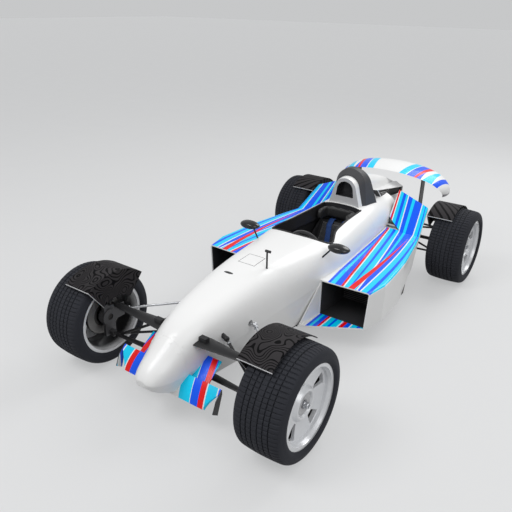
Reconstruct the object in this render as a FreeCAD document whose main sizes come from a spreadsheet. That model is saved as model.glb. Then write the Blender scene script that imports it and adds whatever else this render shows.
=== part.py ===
"""Open wheel single seater racing car, at full size, in millimetres.

The origin lies on the ground under the centre of the car. The nose points along -Y, the car's left
side is +X and up is +Z. Places along the car are distances behind the front axle. Sizes and places are
written as expressions of the names in SIZES and PLACES, so that every box, bar and sketch stays tied to
the sheet.
"""
import FreeCAD
import Part
import Sketcher
import math
import os
import re
from FreeCAD import Placement, Rotation, Vector

document = FreeCAD.newDocument("single_seater")
sheet = document.addObject("Spreadsheet::Sheet", "Sizes")

SIZES = {
    # Whole car
    "wheelbase": 2650,
    "nose_overhang": 348,
    "tail_overhang": 460,
    "underside_height": 170,
    "seat_clearance": 0.3,
    "running_clearance": 6,
    "pin_clearance": 0.3,
    "panel_seam": 0.6,
    "cut_overrun": 20,
    # Wheels and tyres
    "front_tyre_radius": 324.8,
    "rear_tyre_radius": 320.9,
    "front_tyre_width": 294,
    "rear_tyre_width": 300,
    "front_wheel_offset": 751.9,
    "rear_wheel_offset": 771.5,
    "tyre_bead_radius": 229,
    "tyre_shoulder_radius": 38,
    "tyre_crown_drop": 5,
    "tyre_wall_bulge": 7,
    "flange_radius": 241,
    "flange_thickness": 7,
    "rim_wall": 8,
    "rim_width": 270,
    "rim_drop_depth": 16,
    "rim_face_depth": 66,
    "rim_face_thickness": 14,
    "rim_window_inner_radius": 112,
    "rim_window_outer_radius": 196,
    "rim_window_inner_half_width": 9,
    "rim_window_outer_half_width": 42,
    "rim_window_count": 5,
    "hub_ring_radius": 66,
    "hub_ring_slope": 6,
    "hub_ring_top": 15,
    "hub_ring_fall": 15,
    "hub_ring_height": 34,
    "hub_cap_thickness": 20,
    "hub_bore": 24,
    "disc_radius": 138,
    "disc_thickness": 20,
    "disc_bell_radius": 72,
    "disc_bell_wall": 8,
    "axle_radius": 22,
    "drive_shaft_radius": 15,
    "drive_shaft_inner": 128,
    # Hull
    "hull_half_width": 338,
    "hull_depth": 506,
    "nose_split": 130,
    "engine_bay_length": 660,
    "bulkhead_thickness": 20,
    "cockpit_length": 738,
    "cockpit_mouth_half_width": 252,
    "cockpit_floor": 212,
    "cockpit_inner_half_width": 252,
    "cockpit_inner_rear_half_width": 199,
    "cockpit_roof_drop": 101,
    "cockpit_inner_corner": 45,
    "footwell_length": 412,
    "footwell_half_width": 170,
    "footwell_roof_drop": 177,
    "hood_slot_place": 478,
    "hood_slot_offset": -28,
    "hood_slot_half_width": 36,
    "hood_slot_half_length": 11,
    "hood_slot_depth": 16,
    "hood_slot_drop": 60.7,
    # Side pods
    "pod_front": 1090,
    "pod_wheel_gap": 135,
    "pod_half_width": 726,
    "pod_drop": 208,
    "pod_wall": 9,
    "pod_gap": 2,
    "pod_edge_radius": 20,
    "pod_lip_thickness": 12,
    "pod_lip_front": 860,
    "pod_ramp_length": 275,
    "ramp_inner_rise": 76,
    "ramp_outer_drop": 34,
    "ramp_scoop_setback": 10,
    "ramp_scoop_length": 78,
    "ramp_scoop_inner": 238,
    "ramp_scoop_width": 170,
    "radiator_setback": 340,
    "radiator_thickness": 50,
    # Floor
    "floor_thickness": 6,
    "floor_front": 640,
    "diffuser_setback": 40,
    "diffuser_half_width": 300,
    "diffuser_length": 270,
    "diffuser_height": 300,
    "diffuser_fence_spacing": 180,
    # Engine cover and roll hoop
    "cover_wall": 8,
    "cover_base_drop": 206,
    "hump_base_drop": 131,
    "hump_length": 1070,
    "hump_half_width": 182,
    "airbox_rim": 28,
    "airbox_sill_drop": 222,
    "airbox_depth": 90,
    "hoop_setback": 55,
    "hoop_depth": 223,
    "hoop_crown_depth": 95,
    "hoop_base_drop": 36,
    "hoop_half_width": 190,
    "hoop_rise": 316,
    "vent_setback": 50,
    "vent_length": 568,
    "vent_top_drop": 220,
    "vent_drop": 148,
    "vent_offset": 152,
    "vent_inner": 64,
    "vent_frame": 14,
    "vent_slat_thickness": 5,
    "vent_slat_count": 5,
    # Front wing
    "front_wing_place": 195,
    "front_wing_height": 155,
    "front_wing_half_span": 383,
    "front_wing_inner_half_span": 275,
    "front_wing_chord": 83,
    "front_wing_rise": 119,
    "front_wing_inner_chord": 223,
    "front_wing_inner_rise": 182,
    "front_wing_bow": 9,
    "front_wing_thickness": 10,
    "front_wing_corner_width": 74,
    "front_wing_corner_length": 62,
    "end_plate_thickness": 6,
    "end_plate_drop": 30,
    "end_plate_shoulder": 71,
    # Rear wing
    "rear_wing_half_span": 530,
    "rear_wing_drop": 142,
    "rear_wing_chord": 300,
    "rear_wing_thickness": 26,
    "rear_wing_tip_drop": 237,
    "rear_wing_incidence_rise": 30,
    "wing_post_offset": 320,
    "wing_post_thickness": 8,
    "wing_post_chord": 90,
    "wing_post_setback": 240,
    "wing_beam_height": 470,
    "wing_beam_depth": 20,
    "wing_stalk_half_width": 48,
    # Steering and suspension
    "kingpin_offset": 622,
    "kingpin_half_height": 115,
    "kingpin_pin_radius": 6,
    "ear_thickness": 8,
    "ear_gap": 2,
    "steering_arm_length": 105,
    "tie_rod_height": 352,
    "tie_rod_radius": 8,
    "rack_place": 385,
    "rack_height": 402,
    "rack_ball_offset": 250,
    "rack_ball_radius": 17,
    "rack_inner": 120,
    "arm_radius": 8.5,
    "arm_neck_radius": 8,
    "lower_arm_spread": 450,
    "arm_root_offset": 117,
    "upper_blade_inner_chord": 130,
    "upper_blade_outer_chord": 42,
    "upper_blade_thickness": 34,
    "upper_blade_outer_thickness": 20,
    "lower_blade_inner_chord": 70,
    "lower_blade_outer_chord": 32,
    "lower_blade_thickness": 18,
    "clevis_place": 26,
    "clevis_offset": 176,
    "clevis_length": 52,
    "clevis_width": 34,
    "clevis_height": 42,
    "rocker_place": 150,
    "rocker_offset": 214,
    "rocker_height": 405,
    "rocker_length": 62,
    "rocker_radius": 15,
    "rocker_ball_radius": 18,
    "push_rod_radius": 9,
    "push_rod_offset": 570,
    "rod_end_radius": 16,
    "rod_end_height": 18,
    "upright_thickness": 46,
    "upright_depth": 84,
    "bearing_radius": 58,
    "caliper_half_height": 50,
    "caliper_start": 34,
    "cowl_gap": 20,
    "cowl_thickness": 5,
    "cowl_inner_offset": 566,
    "cowl_outer_offset": 776,
    "cowl_web_radius": 176,
    "cowl_foot_height": 18,
    "cowl_front_angle": 53,
    "cowl_rear_angle": 131,
    # Cockpit fittings
    "steering_wheel_radius": 132,
    "steering_rim_radius": 13,
    "steering_wheel_drop": 156,
    "steering_wheel_reach": 168,
    "steering_boss_radius": 34,
    "steering_boss_length": 30,
    "spoke_count": 3,
    "spoke_half_width": 12,
    "spoke_half_thickness": 4,
    "column_rake": 14,
    "column_radius": 14,
    "column_length": 300,
    "dash_setback": 30,
    "dash_thickness": 10,
    "dash_drop": 276,
    "seat_half_width": 172,
    "seat_shell": 18,
    "seat_side": 70,
    "seat_rear_gap": 37,
    "seat_back_run": 225,
    "seat_pan_length": 210,
    "seat_drop": 114,
    "headrest_half_width": 148,
    "headrest_pad": 40,
    "headrest_arm": 170,
    "headrest_drop": 86,
    "headrest_height": 90,
    "headrest_rounding": 8,
    # Power unit
    "engine_half_width": 185,
    "engine_top": 420,
    "gearbox_lead": 240,
    "gearbox_length": 460,
    "gearbox_half_width": 95,
    "gearbox_height": 250,
    "output_cup_radius": 40,
    "output_cup_reach": 148,
    "exhaust_radius": 34,
    "exhaust_wall": 3,
    "exhaust_length": 92,
    "exhaust_drop": 62,
    # Small pieces
    "mirror_offset": 382,
    "mirror_lead": 53,
    "mirror_drop": 3,
    "mirror_half_width": 80,
    "mirror_half_height": 30,
    "mirror_length": 66,
    "mirror_stem_radius": 6,
    "mirror_foot_drop": 112,
    "antenna_offset": 138,
    "antenna_place": 668,
    "antenna_rise": 96,
    "antenna_radius": 6,
    "antenna_head_radius": 9,
    "antenna_head_back": 12,
    "antenna_head_reach": 26,
    "lamp_half_width": 34,
    "lamp_depth": 30,
    "lamp_rounding": 8,
}

# Places that follow from the sizes
PLACES = {
    "front_axle": "-(wheelbase + tail_overhang - nose_overhang) / 2",
    "rear_axle": "front_axle + wheelbase",
    "tail_end": "rear_axle + tail_overhang",
    "far": "2 * wheelbase",
    "tub_rear": "wheelbase - engine_bay_length",
    "cockpit_rear": "tub_rear - bulkhead_thickness",
    "cockpit_front": "cockpit_rear - cockpit_length",
    "footwell_front": "cockpit_front - footwell_length",
    "hull_top": "underside_height + hull_depth",
    "pod_rear": "wheelbase - pod_wheel_gap",
    "pod_height": "hull_top - pod_drop",
    "pod_ramp_start": "pod_rear - pod_ramp_length",
    "pod_ramp_inner_height": "hull_top + ramp_inner_rise",
    "pod_ramp_outer_height": "hull_top - ramp_outer_drop",
    "ramp_scoop_front": "pod_ramp_start + ramp_scoop_setback",
    "radiator_place": "pod_front + radiator_setback",
    "diffuser_front": "wheelbase + diffuser_setback",
    "diffuser_rear": "diffuser_front + diffuser_length",
    "cover_base": "hull_top - cover_base_drop",
    "hump_base": "hull_top - hump_base_drop",
    "hoop_front": "tub_rear + hoop_setback",
    "hoop_rear": "hoop_front + hoop_depth",
    "hoop_crown_rear": "hoop_front + hoop_crown_depth",
    "hoop_base": "hull_top - hoop_base_drop",
    "hoop_height": "hull_top + hoop_rise",
    "airbox_sill": "hoop_height - airbox_sill_drop",
    "vent_front": "hoop_rear + vent_setback",
    "rear_wing_height": "hoop_height - rear_wing_drop",
    "steering_wheel_place": "cockpit_front + steering_wheel_reach",
    "steering_wheel_height": "hull_top - steering_wheel_drop",
    "dash_place": "cockpit_front + dash_setback",
    "dash_bottom": "hull_top - dash_drop",
    "mirror_place": "cockpit_front - mirror_lead",
    "tyre_heel": "flange_radius + seat_clearance",
    "tyre_foot": "rim_width / 2 - flange_thickness - seat_clearance",
    "rim_seat": "tyre_bead_radius - seat_clearance",
    "rim_inside": "rim_seat - rim_wall",
    "rim_face": "rim_width / 2 - rim_face_depth",
    "hub_face": "rim_face - seat_clearance",
    "upright_inner": "kingpin_offset + rod_end_radius + running_clearance",
    "upright_outer": "upright_inner + upright_thickness",
    "floor_top": "underside_height - seat_clearance",
    "floor_low": "floor_top - floor_thickness",
    "engine_front": "front_axle + tub_rear + cut_overrun",
    "engine_base": "underside_height + seat_clearance",
    "gearbox_front": "rear_axle - gearbox_lead",
    "gearbox_tail": "gearbox_front + gearbox_length",
    "post_front": "rear_axle + wing_post_setback",
    "post_rear": "post_front + wing_post_chord",
    "eye_half": "rod_end_height / 2",
    "ear_stack": "eye_half + ear_gap + ear_thickness",
    "eye_edge": "kingpin_offset - kingpin_pin_radius - arm_neck_radius / 2",
    "seat_base": "cockpit_floor + seat_clearance",
    "seat_back_top": "cockpit_rear - seat_rear_gap - seat_shell",
    "seat_hip": "seat_back_top - seat_back_run",
    "seat_front": "seat_hip - seat_pan_length",
    "seat_back_height": "hull_top - seat_drop",
    "antenna_top": "hull_top + antenna_rise",
    "mirror_height": "hull_top - mirror_drop",
    "headrest_bottom": "hull_top - headrest_drop",
    "cockpit_inner_top": "hull_top - cockpit_roof_drop",
    "footwell_top": "hull_top - footwell_roof_drop",
    "vent_top": "hoop_height - vent_top_drop",
    "wing_front": "front_axle - front_wing_place",
    "rear_wing_front": "tail_end - rear_wing_chord",
}

for row, (alias, number) in enumerate(SIZES.items(), start=1):
    sheet.set(f"A{row}", alias)
    sheet.set(f"B{row}", str(number))
    sheet.setAlias(f"B{row}", alias)
document.recompute()


def cell(text):
    """Expression in which every size and place is spelled out as cells of the sheet."""
    def spell(match):
        word = match.group()
        if word in PLACES:
            return "(" + cell(PLACES[word]) + ")"
        return "Sizes." + word if word in SIZES else word
    return re.sub(r"[a-z][a-z_]*", spell, text)


def value(text):
    """Number that an expression gives."""
    return float(sheet.evalExpression(cell(text)))


def point(texts):
    """Point from three expressions."""
    return Vector(*[value(text) for text in texts])


def along(distance):
    """Place along the car from the distance behind the front axle."""
    return value("front_axle") + distance


# Helpers that make objects of the document

pieces = []


def keep(item, label):
    """Mark an object as a piece of the car under its own name."""
    item.Label = label
    pieces.append(item)
    return item


def tie(item, ties):
    """Tie properties of an object to expressions."""
    for name, text in ties.items():
        item.setExpression(name, cell(text))
    return item


def slab(name, x, y, z):
    """Box between pairs of expressions along the three axes."""
    item = document.addObject("Part::Box", name)
    for side, axis, (low, high) in zip(("Length", "Width", "Height"), "xyz", (x, y, z)):
        tie(item, {side: f"({high}) - ({low})", "Placement.Base." + axis: low})
    return item


def bar(name, start, end, radius):
    """Round bar between two points given as expressions."""
    item = document.addObject("Part::Cylinder", name)
    item.Placement = Placement(point(start), Rotation(Vector(0, 0, 1), point(end) - point(start)))
    span = " + ".join(f"(({high}) - ({low}))^2" for low, high in zip(start, end))
    tie(item, {"Radius": radius, "Height": f"sqrt({span})"})
    return tie(item, {"Placement.Base." + axis: text for axis, text in zip("xyz", start)})


def ball(name, centre, radius):
    """Sphere about a point."""
    item = document.addObject("Part::Sphere", name)
    tie(item, {"Radius": radius})
    return tie(item, {"Placement.Base." + axis: text for axis, text in zip("xyz", centre)})


def united(name, items):
    """One solid of several that overlap."""
    item = document.addObject("Part::MultiFuse", name)
    item.Shapes = items
    item.Refine = False
    return item


def cut(name, base, tool):
    """Base without the tool."""
    item = document.addObject("Part::Cut", name)
    item.Base = base
    item.Tool = tool
    return item


def common(name, base, tool):
    """What the base and the tool share."""
    item = document.addObject("Part::Common", name)
    item.Base = base
    item.Tool = tool
    return item


def gathered(name, items):
    """Several solids that don't touch, as one piece."""
    item = document.addObject("Part::Compound", name)
    item.Links = items
    return item


def mirrored(source, name):
    """The same piece on the other side of the car."""
    item = document.addObject("Part::Mirroring", name)
    item.Source = source
    item.Normal = Vector(1, 0, 0)
    return item


def feature(name, shape):
    """A form made by Part's own functions."""
    item = document.addObject("Part::Feature", name)
    item.Shape = shape
    return item


def main_solid(name, source):
    """The largest solid of a piece, without the slivers that a cut leaves."""
    document.recompute()
    return feature(name, max(source.Shape.Solids, key=lambda solid: solid.Volume))


def loft(name, wires, ruled=False):
    """Solid through a row of closed sections."""
    sections = [feature(f"{name}_section", wire) for wire in wires]
    item = document.addObject("Part::Loft", name)
    item.Sections = sections
    item.Solid = True
    item.Ruled = ruled
    return item


def prism(name, wire, run):
    """Solid drawn from a closed wire along a run of three expressions."""
    item = document.addObject("Part::Extrusion", name)
    item.Base = feature(name + "_outline", wire)
    item.DirMode = "Custom"
    item.Dir = point(run)
    item.LengthFwd = point(run).Length
    item.Solid = True
    return item


def polygon(points):
    """Closed wire through points."""
    return Part.makePolygon(points + points[:1])


def outline(sketch, corners, bows):
    """Closed outline in a sketch, each corner held by its two distances from the origin.

    The side that starts at a corner with a bow is an arc, which stands out to the right of its run by
    that much.
    """
    points = [Vector(value(across), value(up), 0) for across, up in corners]
    starts = []
    for index, start in enumerate(points):
        end = points[(index + 1) % len(points)]
        if index in bows:
            bow = value(bows[index])
            run = end - start
            radius = (run.Length ** 2 / 4 + bow ** 2) / (2 * abs(bow))
            outward = Vector(run.y, -run.x, 0).normalize()
            middle = (start + end) / 2 + outward * math.copysign(abs(bow) - radius, -bow)
            first, last = (start, end) if bow > 0 else (end, start)
            turns = [math.atan2(place.y - middle.y, place.x - middle.x) for place in (first, last)]
            sketch.addGeometry(Part.ArcOfCircle(Part.Circle(middle, Vector(0, 0, 1), radius), *turns))
            starts.append(1 if bow > 0 else 2)
        else:
            sketch.addGeometry(Part.LineSegment(start, end))
            starts.append(1)
    for index, (across, up) in enumerate(corners):
        before = index - 1 if index else len(corners) - 1
        sketch.addConstraint(Sketcher.Constraint("Coincident", before, 3 - starts[before], index,
                                                 starts[index]))
        for kind, text, number in (("DistanceX", across, points[index].x),
                                   ("DistanceY", up, points[index].y)):
            place = sketch.addConstraint(Sketcher.Constraint(kind, -1, 1, index, starts[index], number))
            sketch.setExpression(f"Constraints[{place}]", cell(text))
    for index, bow in bows.items():
        (x0, y0), (x1, y1) = corners[index], corners[(index + 1) % len(corners)]
        chord = f"((({x1}) - ({x0}))^2 + (({y1}) - ({y0}))^2)"
        radius = f"({chord} / 4 + ({bow})^2) / (2 * abs({bow}))"
        place = sketch.addConstraint(Sketcher.Constraint("Radius", index, value(radius)))
        sketch.setExpression(f"Constraints[{place}]", cell(radius))


def drawn(body, name, plane, corners, bows=None):
    """Sketch of a body on one of its origin planes."""
    sketch = body.newObject("Sketcher::SketchObject", name + "_sketch")
    support = [item for item in body.Origin.OriginFeatures if item.Role == plane]
    sketch.AttachmentSupport = [(support[0], "")]
    sketch.MapMode = "FlatFace"
    outline(sketch, corners, bows or {})
    return sketch


def turned(body, name, corners, bows=None):
    """Add to a body the ring that an outline of (x, radius) leaves when it turns about X."""
    turn = body.newObject("PartDesign::Revolution", name)
    turn.Profile = drawn(body, name, "XY_Plane", corners, bows)
    turn.ReferenceAxis = (turn.Profile[0], ["H_Axis"])
    return turn


def padded(body, name, plane, corners, length, bows=None):
    """Add to a body a plate of an outline, as thick to both sides of its plane."""
    pad = body.newObject("PartDesign::Pad", name)
    pad.Profile = drawn(body, name, plane, corners, bows)
    pad.SideType = "Symmetric"
    return tie(pad, {"Length": length})


def pocketed(body, name, plane, corners, length, bows=None):
    """Cut from a body an outline, as deep to both sides of its plane."""
    pocket = body.newObject("PartDesign::Pocket", name)
    pocket.Profile = drawn(body, name, plane, corners, bows)
    pocket.SideType = "Symmetric"
    return tie(pocket, {"Length": length})


def new_body(name):
    """An empty body."""
    return document.addObject("PartDesign::Body", name)


# Hull: nose and tub are one form, drawn through sections.
# Each row has the place along the car in nose overhangs (negative) or wheelbases, the half width, the
# heights of the widest line, of the top and of the bottom, the width of the bottom, and how square the
# shoulder is.
hull_section_shares = [
    (-1.0, 0.085, 0.226, 0.255, 0.196, 0.70, 2.0),
    (-0.950, 0.195, 0.210, 0.312, 0.150, 0.76, 2.0),
    (-0.833, 0.278, 0.200, 0.388, 0.098, 0.80, 2.1),
    (-0.632, 0.355, 0.200, 0.478, 0.040, 0.82, 2.2),
    (-0.316, 0.436, 0.218, 0.642, 0.004, 0.86, 2.5),
    (0.0, 0.500, 0.256, 0.742, 0.0, 0.90, 2.8),
    (0.064, 0.572, 0.310, 0.828, 0.0, 0.92, 3.1),
    (0.151, 0.655, 0.362, 0.914, 0.0, 0.94, 3.2),
    (0.264, 0.757, 0.412, 0.984, 0.0, 0.94, 3.1),
    (0.377, 0.872, 0.460, 1.0, 0.0, 0.93, 3.0),
    (0.464, 0.975, 0.530, 1.006, 0.0, 0.89, 2.9),
    (0.566, 0.985, 0.572, 1.034, 0.0, 0.88, 2.8),
    (0.660, 0.938, 0.602, 1.055, 0.0, 0.90, 2.7),
    (0.751, 0.878, 0.632, 1.068, 0.0, 0.94, 2.7),
    (0.845, 0.826, 0.660, 1.080, 0.0, 0.96, 2.6),
    (0.955, 0.780, 0.720, 1.100, 0.0, 1.0, 2.5),
]
dome_steps = 6


def station(share):
    """Place along the car of a hull section's share."""
    return along(share * value("nose_overhang" if share < 0 else "wheelbase"))


def dome_section(y, half_width, crease, top, bottom, bottom_half, squareness):
    """Closed section: flat bottom, leaning walls and a dome that follows a superellipse."""
    points = []
    for step in range(2 * dome_steps + 1):
        angle = math.pi * step / (2 * dome_steps)
        sine = max(math.sin(angle), 0)
        cosine = round(math.cos(angle), 9)
        across = math.copysign(abs(cosine) ** (2 / squareness), cosine)
        points.append(Vector(half_width * across, y, crease + (top - crease) * sine ** (2 / squareness)))
    dome = Part.BSplineCurve()
    dome.interpolate(points)
    left = Vector(bottom_half, y, bottom)
    right = Vector(-bottom_half, y, bottom)
    return Part.Wire([Part.makeLine(right, left), Part.makeLine(left, points[0]), dome.toShape(),
                      Part.makeLine(points[-1], right)])


def hull_wire(shares, wall=0):
    """Section of the hull from one row of shares, set in by a wall."""
    place, width, crease, top, bottom, narrow, squareness = shares
    half = width * value("hull_half_width") - wall
    deep = value("hull_depth")
    low = value("underside_height")
    return dome_section(station(place), half, low + crease * deep, low + top * deep - wall,
                        low + bottom * deep,
                        half * narrow, squareness)


def hull_half_at(y):
    """Half width of the hull at a place along the car, by straight runs between its sections."""
    rows = [(station(shares[0]), shares[1] * value("hull_half_width")) for shares in hull_section_shares]
    for (y_low, half_low), (y_high, half_high) in zip(rows, rows[1:]):
        if y_low <= y <= y_high:
            return half_low + (half_high - half_low) * (y - y_low) / (y_high - y_low)
    return rows[-1][1]


def rounded_wire(y, half_width, low, high, radius):
    """Upright rectangle across the car with round corners."""
    corners = [Vector(-half_width, y, low), Vector(half_width, y, low), Vector(half_width, y, high),
               Vector(-half_width, y, high)]
    edges = []
    for index, corner in enumerate(corners):
        towards_before = (corners[index - 1] - corner).normalize() * radius
        after = corners[(index + 1) % 4]
        towards_after = (after - corner).normalize() * radius
        middle = corner + (towards_before + towards_after) * (1 - math.sqrt(0.5))
        edges.append(Part.Arc(corner + towards_before, middle, corner + towards_after).toShape())
        edges.append(Part.makeLine(corner + towards_after, after - towards_after))
    return Part.Wire(edges)


across_car = ("-far", "far")
hull = loft("hull", [hull_wire(shares) for shares in hull_section_shares])
nose_space = slab("nose_space", across_car, ("-far", "front_axle - nose_split - panel_seam / 2"),
                  across_car)
tub_space = slab("tub_space", across_car, ("front_axle - nose_split + panel_seam / 2",
                                           "front_axle + tub_rear"),
                 across_car)
nose_cone = keep(common("nose", hull, nose_space), "nose_cone")

# Cockpit: a well inside the tub, a mouth in its top, a slot in the hood and a hole on each side for the
# steering rack
inner_corner = value("cockpit_inner_corner")
well = loft("well", [
    rounded_wire(along(value("footwell_front")), value("footwell_half_width"), value("cockpit_floor"),
                 value("footwell_top"), inner_corner),
    rounded_wire(along(value("cockpit_front")), value("cockpit_inner_half_width"), value("cockpit_floor"),
                 value("cockpit_inner_top"), inner_corner),
    rounded_wire(along(value("cockpit_rear")), value("cockpit_inner_rear_half_width"),
                 value("cockpit_floor"),
                 value("cockpit_inner_top"), inner_corner),
], ruled=True)
mouth_shares = [(0.0, 0.0), (0.02, 0.55), (0.075, 0.90), (0.14, 1.0), (0.22, 0.93), (0.33, 0.80),
                (0.48, 0.735),
                (0.72, 0.68), (1.0, 0.66)]


def mouth_wire(z):
    """Outline of the cockpit opening seen from above."""
    length = value("cockpit_rear - cockpit_front")
    half = value("cockpit_mouth_half_width")
    left = [Vector(x * half, along(value("cockpit_front") + y * length), z) for y, x in mouth_shares]
    right = [Vector(-place.x, place.y, z) for place in reversed(left[1:])]
    curve = Part.BSplineCurve()
    curve.interpolate(right + left)
    return Part.Wire([curve.toShape(), Part.makeLine(left[-1], right[0])])


mouth = prism("mouth", mouth_wire(value("footwell_top")), ("0", "0", "hull_depth"))
rack_hole = bar("rack_hole", ("-far / 2", "front_axle + rack_place", "rack_height"),
                ("far / 2", "front_axle + rack_place", "rack_height"),
                "tie_rod_radius + 2 * running_clearance")
slot_disc = document.addObject("Part::Ellipsoid", "hood_slot")
tie(slot_disc, {"Radius1": "hood_slot_depth", "Radius2": "hood_slot_half_width",
                "Radius3": "hood_slot_half_length",
                "Placement.Base.x": "hood_slot_offset", "Placement.Base.y": "front_axle + hood_slot_place",
                "Placement.Base.z": "hull_top - hood_slot_drop"})
tub_openings = united("tub_openings", [well, mouth, rack_hole, slot_disc])
tub = keep(cut("tub_shell", common("tub_block", hull, tub_space), tub_openings), "tub")

# Front wing: a short plane over the full span and a deeper one beside the nose, each a bowed plate
wing = new_body("front_wing_plane")
for name, chord_name, rise_name, span_name in (
        ("outer_plane", "front_wing_chord", "front_wing_rise", "front_wing_half_span"),
        ("inner_plane", "front_wing_inner_chord", "front_wing_inner_rise", "front_wing_inner_half_span")):
    padded(wing, name, "YZ_Plane", [
        ("wing_front", "front_wing_height"),
        ("wing_front + front_wing_thickness", "front_wing_height - front_wing_thickness / 2"),
        (f"wing_front + {chord_name}", f"front_wing_height + {rise_name} - front_wing_thickness / 2"),
        (f"wing_front + {chord_name}", f"front_wing_height + {rise_name}"),
    ], f"2 * {span_name}", {1: "-front_wing_bow", 3: "front_wing_bow"})
for name, side in (("left_corner", 1), ("right_corner", -1)):
    pocketed(wing, name, "XY_Plane", [
        (f"{side} * (front_wing_half_span + cut_overrun)", "wing_front - cut_overrun"),
        (f"{side} * (front_wing_half_span - front_wing_corner_width - cut_overrun)",
         "wing_front - cut_overrun"),
        (f"{side} * (front_wing_half_span - front_wing_corner_width)", "wing_front"),
        (f"{side} * front_wing_half_span", "wing_front + front_wing_corner_length"),
        (f"{side} * (front_wing_half_span + cut_overrun)", "wing_front + front_wing_corner_length"),
    ], "far")
plate = new_body("end_plate")
padded(plate, "end_plate_pad", "YZ_Plane", [
    ("wing_front", "front_wing_height"),
    ("wing_front + front_wing_chord / 2", "front_wing_height - end_plate_drop"),
    ("wing_front + front_wing_chord", "front_wing_height + front_wing_rise - end_plate_drop"),
    ("wing_front + front_wing_chord", "front_wing_height + front_wing_rise"),
    ("wing_front + front_wing_corner_length / 2", "front_wing_height + end_plate_shoulder"),
], "end_plate_thickness")
tie(plate, {"Placement.Base.x": "front_wing_half_span + end_plate_thickness / 2"})
wing_parts = united("front_wing_parts", [wing, plate, mirrored(plate, "end_plate_right")])
front_wing = keep(cut("front_wing_cut", wing_parts, hull), "front_wing")

# Side pods: hollow ducts with a lip and a ramp ahead of the rear wheel.
# Each row has the place in pod lengths, the half widths at the top and bottom, and the inner and outer
# top heights.
pod_section_shares = [
    (0.0, 0.952, 0.930, 0.95, 0.98),
    (0.13, 1.0, 0.985, 1.0, 1.0),
    (0.40, 0.962, 0.955, 1.02, 1.01),
    (0.69, 0.866, 0.815, 1.03, 1.02),
]
ramp_start_shares = (0.815, 0.77, 1.04, 1.03)
ramp_end_shares = (0.75, 0.655)


def pod_wire(y, x_out, x_out_low, top_in, top_out, wall):
    """Section of the left pod with a round outer top edge, set in from its outside by a wall."""
    x_in = hull_half_at(y) + value("pod_gap") + wall
    low = value("underside_height") + wall
    corner = Vector(x_out - wall, y, top_out - wall)
    inner_top = Vector(x_in, y, top_in - wall)
    foot = Vector(x_out_low - wall, y, low)
    radius = value("pod_edge_radius") - wall
    down = corner + (foot - corner).normalize() * radius
    inward = corner + (inner_top - corner).normalize() * radius
    middle = corner + (down + inward - corner * 2) * (1 - math.sqrt(0.5))
    heel = Vector(x_in, y, low)
    return Part.Wire([Part.makeLine(heel, foot), Part.makeLine(foot, down),
                      Part.Arc(down, middle, inward).toShape(),
                      Part.makeLine(inward, inner_top), Part.makeLine(inner_top, heel)])


def pod_sections(wall):
    """Sections of the left pod from the inlet to the tail."""
    low = value("underside_height")
    high = value("pod_height") - low
    wide = value("pod_half_width")
    rows = [(value("pod_front") + share * value("pod_rear - pod_front"), shares)
            for share, *shares in pod_section_shares]
    rows.append((value("pod_ramp_start"), ramp_start_shares))
    wires = [pod_wire(along(place), wide * out, wide * out_low, low + high * top_in, low + high * top_out,
                      wall)
             for place, (out, out_low, top_in, top_out) in rows]
    wires.append(pod_wire(along(value("pod_rear")), wide * ramp_end_shares[0], wide * ramp_end_shares[1],
                          value("pod_ramp_inner_height"), value("pod_ramp_outer_height"), wall))
    return wires


pod_outside = loft("pod_outside", pod_sections(0), ruled=True)
pod_inside = loft("pod_inside", pod_sections(value("pod_wall")), ruled=True)
pod_front_y = along(value("pod_front"))
lip_front_y = along(value("pod_lip_front"))
lip_inner = hull_half_at(lip_front_y) + value("pod_gap")
duct_inner = hull_half_at(pod_front_y) + value("pod_gap")
lip_outer = pod_section_shares[0][2] * value("pod_half_width")
lip_rear_y = pod_front_y + 2 * value("cut_overrun")
low = value("underside_height")
lip = prism("pod_lip", polygon([
    Vector(lip_inner, lip_front_y, low), Vector(lip_outer, pod_front_y + value("pod_lip_thickness"), low),
    Vector(lip_outer, lip_rear_y, low), Vector(duct_inner, lip_rear_y, low)]),
    ("0", "0", "pod_lip_thickness"))
vane_rear_y = pod_front_y + value("cut_overrun")
vane = prism("pod_vane", polygon([
    Vector(lip_inner, lip_front_y, low), Vector(duct_inner, vane_rear_y, low),
    Vector(duct_inner, vane_rear_y, value("pod_height - cut_overrun"))]), ("pod_wall", "0", "0"))
scoop_cut = prism("ramp_scoop", polygon([
    point(("ramp_scoop_inner", "front_axle + ramp_scoop_front", "pod_height - cut_overrun")),
    point(("ramp_scoop_inner + ramp_scoop_width", "front_axle + ramp_scoop_front",
           "pod_height - cut_overrun")),
    point(("ramp_scoop_inner + ramp_scoop_width / 5", "front_axle + ramp_scoop_front + ramp_scoop_length",
           "pod_height - cut_overrun"))]), ("0", "0", "hull_depth / 2"))

# Radiators stand in the ducts
radiator_slab = slab("radiator_slab", ("hull_half_width", "pod_half_width"),
                     ("front_axle + radiator_place", "front_axle + radiator_place + radiator_thickness"),
                     ("underside_height", "far"))
radiator_left = common("radiator_left", radiator_slab, pod_inside)
radiators = keep(gathered("radiator_pair", [radiator_left, mirrored(radiator_left, "radiator_right")]),
                 "radiators")

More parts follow.
